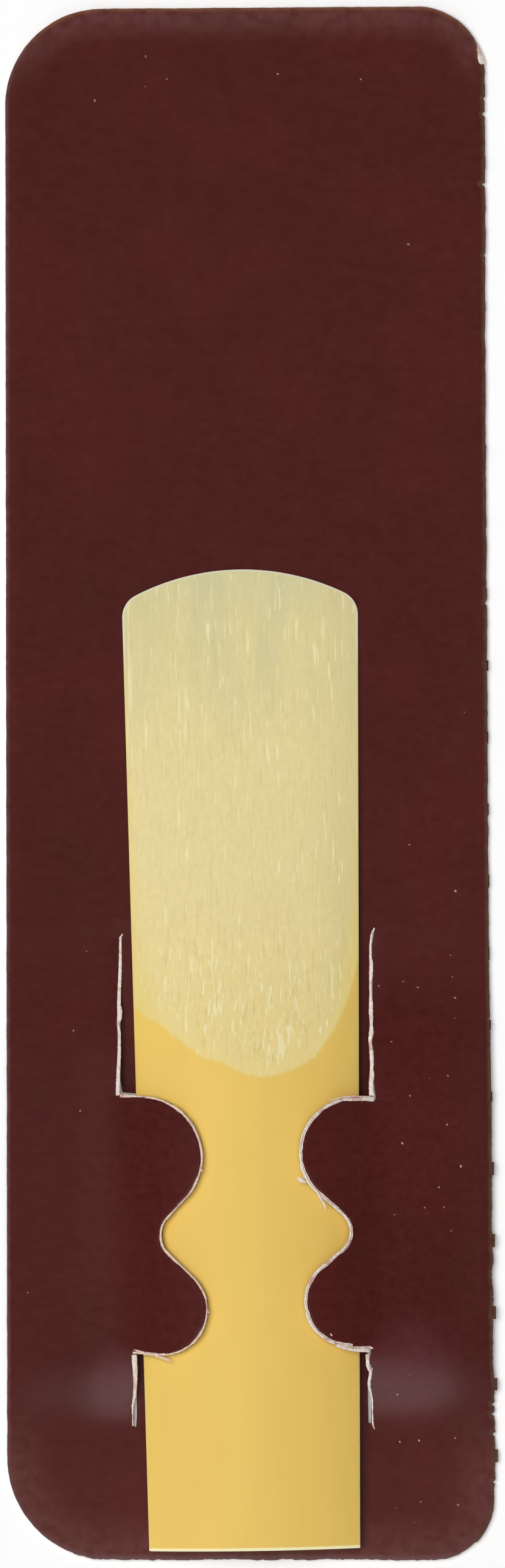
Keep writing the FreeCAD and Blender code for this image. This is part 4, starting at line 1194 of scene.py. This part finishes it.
def build_reed(settings):
    """The reed as one closed piece of cane."""
    outline, _ = even_run(reed_outline(), 0.15, True)
    edge_rows = [outline - sideways(outline, True) * inset for inset in (0.03, 0.08, 0.16)]
    plan, faces = fill_plan(outline, [], 0.32, np.vstack(edge_rows), 0.9)
    edge = edge_distance(plan, outline)
    bark, vamp = bark_height(plan[:, 0]), vamp_height(plan)
    depth = bark - vamp
    soft = 0.025
    scraped = 0.5 * (depth + np.sqrt(depth ** 2 + soft ** 2)) - soft * 0.25
    over = bark - np.maximum(scraped, 0)
    heel = plan[:, 1] - REED_HEEL
    over -= np.where(heel < HEEL_CHAMFER, (HEEL_CHAMFER - heel), 0) * (depth < 0)
    over = np.maximum(over, BOARD + 0.06)
    over -= np.minimum(crushed(edge, 0.10, 0.035), (over - BOARD) * 0.3)
    under = np.full(len(plan), BOARD)
    top, side = cane_material(settings), cut_cane_material()
    mesh = closed_ply("cane", plan, faces, under, over, {"depth": depth, "edge": edge},
                      [top, side], wall_slot=1, under_slot=1)
    place_piece("cane", mesh, "reed", "cane", "reed")


def cane_place(graph):
    """Object coordinates turned to the reed's own axis, from the waist of the tabs."""
    place = graph.add("ShaderNodeTexCoord").outputs["Object"]
    node = graph.add("ShaderNodeMapping", {"Vector": place, "Location": (0, -DIE_DROP * MM, 0),
                                           "Rotation": (0, 0, DIE_SKEW)}, vector_type="TEXTURE")
    return node.outputs[0]


def colour_run(graph, value, stops):
    """A colour that runs through stops of (place in metres, colour)."""
    low, high = stops[0][0], stops[-1][0]
    share = graph.add("ShaderNodeMapRange", {0: value, 1: low, 2: high}).outputs[0]
    ramp = graph.add("ShaderNodeValToRGB", {0: share})
    elements = ramp.color_ramp.elements
    elements[0].color, elements[1].color = stops[0][1], stops[-1][1]
    for place, colour in stops[1:-1]:
        elements.new((place - low) / (high - low)).color = colour
    return ramp.outputs[0]


def cane_material(settings):
    """Bark on the stock, scraped vamp with its fibre dashes, and the pale line where they meet."""
    material, graph, surface = new_material("cane_bark_and_vamp")
    place = cane_place(graph)
    across, along = graph.add("ShaderNodeSeparateXYZ", {0: place}).outputs[:2]
    depth = graph.attribute("depth")
    edge = graph.attribute("edge")
    vamp = colour_run(graph, along, [
        (0.0090, (*settings.vamp_low, 1.0)),
        (0.0220, (*settings.vamp_middle, 1.0)),
        (0.0310, (*settings.vamp_middle, 1.0)),
        (0.0377, (*settings.vamp_high, 1.0)),
        (0.0405, (*settings.vamp_tip, 1.0)),
    ])
    cloud = graph.ease(graph.noise(graph.stretch(place, (1.0, 0.45, 1.0)), 420.0, 3.0, 0.6), 0.3, 0.7)
    vamp = graph.wash(vamp, cloud, 0.22, shade(238, 222, 168))
    fine = streaks(graph, place, 9000.0, 330.0, 0.30, 0.70)
    vamp = graph.wash(vamp, fine, 0.13, shade(214, 197, 138))
    fleck = graph.ease(graph.noise(graph.stretch(place, (1.0, 0.6, 1.0)), 3600.0, 2.0, 0.6), 0.35, 0.65)
    vamp = graph.wash(vamp, fleck, 0.20, shade(208, 196, 140))
    # Painted shade: the vamp darker towards its right side.
    vamp_painted_shade_right = graph.ease(across, 0.0035, 0.0070)
    vamp = graph.wash(vamp, vamp_painted_shade_right, 0.38, shade(204, 190, 136))
    near_tip = graph.times(graph.ease(along, 0.026, 0.033), graph.ease(along, 0.0405, 0.0375, 0.3, 1.0))
    at_shoulder = graph.ease(along, 0.021, 0.014)
    long_dash = graph.times(streaks(graph, place, 4300.0, 150.0, 0.60, 0.72), near_tip)
    middle_dash = streaks(graph, place, 4200.0, 330.0, 0.61, 0.73)
    short_dash = graph.times(streaks(graph, place, 4400.0, 760.0, 0.56, 0.68), at_shoulder)
    dash = graph.math("MAXIMUM", graph.math("MAXIMUM", long_dash, short_dash), middle_dash)
    column = graph.times(streaks(graph, place, 520.0, 60.0, 0.35, 0.65), graph.ease(along, 0.028, 0.036))
    vamp = graph.wash(vamp, column, 0.45, shade(203, 199, 155))
    vamp = graph.wash(vamp, dash, 0.80, (*settings.dash_colour, 1.0))
    dark = streaks(graph, place, 4200.0, 480.0, 0.55, 0.70)
    dark_share = graph.math("MULTIPLY_ADD", at_shoulder, 0.20, 0.16)
    vamp = graph.wash(vamp, dark, dark_share, shade(202, 182, 118))
    # Painted shade: the bark a little darker towards its right side than its left.
    bark_light = (*settings.bark_colour, 1.0)
    bark_painted_shade_right = graph.ease(across, -0.0065, 0.0065)
    bark = graph.mix(bark_painted_shade_right, bark_light, (*[v * 0.96 for v in settings.bark_colour], 1.0))
    bark_cloud = graph.ease(graph.noise(graph.stretch(place, (1.0, 0.35, 1.0)), 300.0, 3.0), 0.3, 0.7)
    bark = graph.wash(bark, bark_cloud, 0.35, shade(229, 192, 98))
    bark_line = streaks(graph, place, 3800.0, 160.0, 0.45, 0.75)
    bark = graph.wash(bark, bark_line, 0.14, shade(240, 208, 122))
    fringe = graph.noise(graph.stretch(place, (1.0, 0.22, 1.0)), 4200.0, 2.0)
    shifted = graph.math("ADD", depth, graph.math("MULTIPLY_ADD", fringe, 0.05, -0.025))
    on_vamp = graph.ease(shifted, -0.022, 0.036)
    glow = graph.times(on_vamp, graph.ease(shifted, 0.16, 0.05))
    colour = graph.mix(on_vamp, bark, vamp)
    colour = graph.wash(colour, glow, 0.75, shade(236, 214, 142))
    at_side = graph.ease(graph.math("ABSOLUTE", across), 0.0046, 0.0066)
    yellow = graph.times(at_side, graph.ease(shifted, 0.42, 0.10))
    colour = graph.wash(colour, graph.times(yellow, on_vamp), 0.6, shade(231, 207, 120))
    edge_line = graph.ease(edge, 0.16, 0.04)
    tip_line = graph.times(edge_line, graph.ease(along, 0.0345, 0.0365))
    colour = graph.wash(colour, edge_line, 0.35, shade(238, 214, 140))
    colour = graph.wash(colour, tip_line, 0.8, shade(226, 222, 206))
    # A painted highlight along the heel's chamfer, where it catches the light.
    heel_painted_highlight = graph.ease(along, (REED_HEEL + 1.2 * HEEL_CHAMFER) * MM,
                           (REED_HEEL + 0.9 * HEEL_CHAMFER) * MM)
    colour = graph.wash(colour, heel_painted_highlight, 0.85, shade(255, 250, 200))
    rough = graph.mix(on_vamp, (0.36, 0.36, 0.36, 1), (0.62, 0.62, 0.62, 1))
    rough = graph.math("MULTIPLY_ADD", cloud, 0.06, rough)
    surface.inputs["IOR"].default_value = 1.42
    height = graph.times(graph.math("ADD", dash, graph.times(dark, -0.8)), on_vamp)
    height = graph.math("MULTIPLY_ADD", bark_line, 0.15, height)
    dress(graph, surface, colour, rough, (0.35, 0.00003, height))
    return material


def cut_cane_material():
    """The reed's flat underside, sides and heel end, with fibres along and pores at the end."""
    material, graph, surface = new_material("cane_cut")
    place = cane_place(graph)
    along = graph.add("ShaderNodeSeparateXYZ", {0: place}).outputs[1]
    fibre = streaks(graph, place, 6000.0, 180.0, 0.35, 0.70)
    base = graph.mix(fibre, shade(224, 196, 130), shade(238, 216, 158))
    line = streaks(graph, place, 9000.0, 120.0, 0.62, 0.80)
    base = graph.wash(base, line, 0.5, shade(186, 148, 88))
    pores = graph.add("ShaderNodeTexVoronoi", {"Vector": graph.stretch(place, (1, 0, 1)), "Scale": 2600.0})
    pore = graph.ease(pores.outputs["Distance"], 0.30, 0.12)
    at_heel = graph.ease(along, REED_HEEL * MM + 0.00004, REED_HEEL * MM + 0.00001)
    base = graph.wash(base, graph.times(pore, at_heel), 0.7, shade(150, 112, 62))
    rough = graph.math("MULTIPLY_ADD", line, 0.1, 0.6)
    dress(graph, surface, base, rough, (0.4, 0.00003, line), invert=True)
    return material


# The stage

def build_stage(settings):
    """White floor, dome, soft lamps and the camera over the card."""
    scene = bpy.context.scene
    world = bpy.data.worlds.new("studio")
    scene.world = world
    world.use_nodes = True
    tree = world.node_tree
    tree.nodes.clear()
    graph = Tree(tree)
    direction = graph.add("ShaderNodeTexCoord").outputs["Generated"]
    dome = settings.dome
    across, ahead, height = graph.add("ShaderNodeSeparateXYZ", {0: direction}).outputs
    toward_heel = graph.ease(ahead, -0.09, -0.48)
    in_front = graph.ease(graph.math("ABSOLUTE", across), 0.45, 0.10)
    glow = graph.times(toward_heel, in_front)
    colour = graph.mix(graph.ease(height, 0.02, 0.18), (1, 1, 1, 1), (dome, dome, dome, 1))
    colour = graph.mix(glow, colour, (settings.front, settings.front, settings.front, 1))
    background = graph.add("ShaderNodeBackground", {"Color": colour, "Strength": 1.0})
    output = graph.add("ShaderNodeOutputWorld")
    tree.links.new(background.outputs[0], output.inputs[0])

    floor_mesh = bpy.data.meshes.new("floor")
    reach = 6.0
    under = -0.00002
    floor_mesh.from_pydata([(-reach, -reach, under), (reach, -reach, under), (reach, reach, under),
                            (-reach, reach, under)], [], [(0, 1, 2, 3)])
    floor = add_object("floor", floor_mesh)
    material, graph, surface = new_material("floor_white")
    surface.inputs["Base Color"].default_value = (0.86, 0.86, 0.86, 1)
    surface.inputs["Roughness"].default_value = 0.9
    surface.inputs["Specular IOR Level"].default_value = 0.0
    rays = graph.add("ShaderNodeLightPath").outputs
    seen = graph.math("MAXIMUM", rays["Is Camera Ray"], graph.math("MAXIMUM", rays["Is Glossy Ray"],
                                                                 rays["Is Transmission Ray"]))
    surface.inputs["Emission Color"].default_value = (1, 1, 1, 1)
    graph.set(surface.inputs["Emission Strength"], graph.times(seen, settings.floor_lift))
    from_below = graph.add("ShaderNodeNewGeometry").outputs["Backfacing"]
    graph.set(surface.inputs["Alpha"], graph.math("SUBTRACT", 1.0, from_below))
    floor_mesh.materials.append(material)

    add_lamp("overhead", (-0.30, 0.12, 1.0), 0.6, 0.6, settings.overhead)

    camera_data = bpy.data.cameras.new("camera")
    camera = add_object("camera", camera_data)
    scene.camera = camera
    picture_height = PICTURE_ROWS * ROW_SIZE * MM
    camera_data.sensor_width = SENSOR
    camera_data.lens = SENSOR * CAMERA_AWAY / picture_height
    camera_data.clip_end = 10.0
    camera.location = (0.17 * MM, -0.075 * MM, CAMERA_AWAY + BOARD * MM)
    scene.view_settings.view_transform = "Standard"


def add_lamp(name, place, width, height, radiance):
    """A soft box that faces the card. radiance is its brightness as a surface."""
    data = bpy.data.lights.new(name, "AREA")
    data.shape = "RECTANGLE"
    data.size, data.size_y = width, height
    data.energy = radiance * math.pi * width * height
    lamp = add_object(name, data)
    lamp.location = place
    lamp.rotation_euler = (-Vector(place)).to_track_quat("-Z", "Y").to_euler()
    lamp.visible_camera = False
    lamp.visible_glossy = False


# Settings a user would change

COLOUR = {"size": 3, "subtype": "COLOR", "min": 0, "max": 1}


class BoardSettings(bpy.types.PropertyGroup):
    """Sizes and colours of the card."""
    face_colour: FloatVectorProperty(name="Face Colour", description="Ink of the glossy facing",
                                     default=(0.0675, 0.0048, 0.0033), **COLOUR)
    # The rim colour is partly abraded ink and partly a painted highlight of the rolled rim.
    rim_wear_and_highlight: FloatVectorProperty(name="Rim Colour", description="Worn rim along the top and right",
                                    default=shade(128, 80, 52)[:3], **COLOUR)
    core_colour: FloatVectorProperty(name="Core Colour", description="Paper core where it is torn",
                                     default=shade(244, 236, 230)[:3], **COLOUR)
    cream_colour: FloatVectorProperty(name="Cream Core", description="Core with size and ink soaked in",
                                      default=shade(240, 204, 176)[:3], **COLOUR)
    rim_radius: FloatProperty(name="Rim Width", description="Width of the rolled rim of the card",
                              unit="LENGTH", default=0.00038, min=0.0001, max=0.001)
    bare_edge: FloatProperty(name="Bare Edge", description="Core left bare beside a cut",
                             unit="LENGTH", default=0.00016, min=0.0, max=0.0006)


class CaneSettings(bpy.types.PropertyGroup):
    """Colours of the reed."""
    bark_colour: FloatVectorProperty(name="Bark", description="Bark of the stock",
                                     default=shade(240, 202, 104)[:3], **COLOUR)
    vamp_low: FloatVectorProperty(name="Vamp at the Shoulder", description="Scraped cane near the bark",
                                  default=shade(238, 213, 138)[:3], **COLOUR)
    vamp_middle: FloatVectorProperty(name="Vamp at the Heart", description="Scraped cane half way up",
                                     default=shade(236, 218, 158)[:3], **COLOUR)
    vamp_high: FloatVectorProperty(name="Vamp near the Tip", description="Thin scraped cane",
                                   default=shade(227, 214, 157)[:3], **COLOUR)
    vamp_tip: FloatVectorProperty(name="Tip", description="Thinnest cane, where the card shows through",
                                  default=shade(218, 209, 160)[:3], **COLOUR)
    dash_colour: FloatVectorProperty(name="Fibre Dashes", description="Pale fibres opened by the scraping",
                                     default=shade(245, 234, 182)[:3], **COLOUR)


class StageSettings(bpy.types.PropertyGroup):
    """Strength of the studio light."""
    dome: FloatProperty(name="Dome", description="Brightness of the sky overhead", default=0.14, min=0, max=2)
    overhead: FloatProperty(name="Overhead", description="Brightness of the box overhead", default=7.3, min=0)
    front: FloatProperty(name="Front Glow", description="Brightness of the room at the heel's side",
                         default=1.4, min=0, max=4)
    floor_lift: FloatProperty(name="Floor Lift", description="Light that the camera sees added to the floor",
                              default=0.16, min=0, max=1)


# Operators

class PieceBuilder:
    """What the operators share: each runs one builder with its settings."""

    def execute(self, context):
        self.build(getattr(context.scene, self.settings))
        return {"FINISHED"}


class REED_CARD_OT_cane(PieceBuilder, bpy.types.Operator):
    """Build the cane reed in place of its solid"""
    bl_idname = "reed_card.cane"
    bl_label = "Cane Reed"
    build, settings = staticmethod(build_reed), "reed_card_cane"


class REED_CARD_OT_card(PieceBuilder, bpy.types.Operator):
    """Build the card's face, board and back in place of its solids"""
    bl_idname = "reed_card.card"
    bl_label = "Card"
    build, settings = staticmethod(build_card), "reed_card_board"


class REED_CARD_OT_tabs(PieceBuilder, bpy.types.Operator):
    """Build the two tabs that hold the reed"""
    bl_idname = "reed_card.tabs"
    bl_label = "Tabs"
    build, settings = staticmethod(build_tabs), "reed_card_board"


class REED_CARD_OT_hinges(PieceBuilder, bpy.types.Operator):
    """Build the bent facing over the two live hinges"""
    bl_idname = "reed_card.hinges"
    bl_label = "Live Hinges"
    build, settings = staticmethod(build_hinges), "reed_card_board"


class REED_CARD_OT_torn_edges(PieceBuilder, bpy.types.Operator):
    """Grow the torn core along the slits and round the tabs"""
    bl_idname = "reed_card.torn_edges"
    bl_label = "Torn Edges"
    build, settings = staticmethod(build_torn_edges), "reed_card_board"


class REED_CARD_OT_specks(PieceBuilder, bpy.types.Operator):
    """Scatter the pale specks over the facing"""
    bl_idname = "reed_card.specks"
    bl_label = "Specks"
    build, settings = staticmethod(build_specks), "reed_card_board"


class REED_CARD_OT_ties(PieceBuilder, bpy.types.Operator):
    """Stand the torn ties along the right edge"""
    bl_idname = "reed_card.ties"
    bl_label = "Torn Ties"
    build, settings = staticmethod(build_ties), "reed_card_board"


class REED_CARD_OT_stage(PieceBuilder, bpy.types.Operator):
    """Set the floor, the lamps and the camera"""
    bl_idname = "reed_card.stage"
    bl_label = "Stage"
    build, settings = staticmethod(build_stage), "reed_card_stage"


OPERATORS = (REED_CARD_OT_stage, REED_CARD_OT_cane, REED_CARD_OT_card, REED_CARD_OT_tabs,
             REED_CARD_OT_hinges, REED_CARD_OT_torn_edges, REED_CARD_OT_specks, REED_CARD_OT_ties)


class REED_CARD_PT_panel(bpy.types.Panel):
    """The reed, its card and their settings"""
    bl_idname = "REED_CARD_PT_panel"
    bl_label = "Reed Card"
    bl_space_type = "VIEW_3D"
    bl_region_type = "UI"
    bl_category = "Reed Card"

    def draw(self, context):
        for operator in OPERATORS:
            self.layout.operator(operator.bl_idname)
        for name, settings in SETTINGS.items():
            box = self.layout.box()
            for key in settings.__annotations__:
                box.prop(getattr(context.scene, name), key)


SETTINGS = {
    "reed_card_board": BoardSettings,
    "reed_card_cane": CaneSettings,
    "reed_card_stage": StageSettings,
}
CLASSES = (*SETTINGS.values(), *OPERATORS, REED_CARD_PT_panel)


def register():
    for item in CLASSES:
        bpy.utils.register_class(item)
    for name, settings in SETTINGS.items():
        setattr(bpy.types.Scene, name, PointerProperty(type=settings))


def unregister():
    for name in SETTINGS:
        delattr(bpy.types.Scene, name)
    for item in reversed(CLASSES):
        bpy.utils.unregister_class(item)


def main():
    """Registers the classes, then builds the stage and every piece."""
    register()
    for operator in OPERATORS:
        group, name = operator.bl_idname.split(".")
        getattr(getattr(bpy.ops, group), name)()


if __name__ == "__main__":
    main()
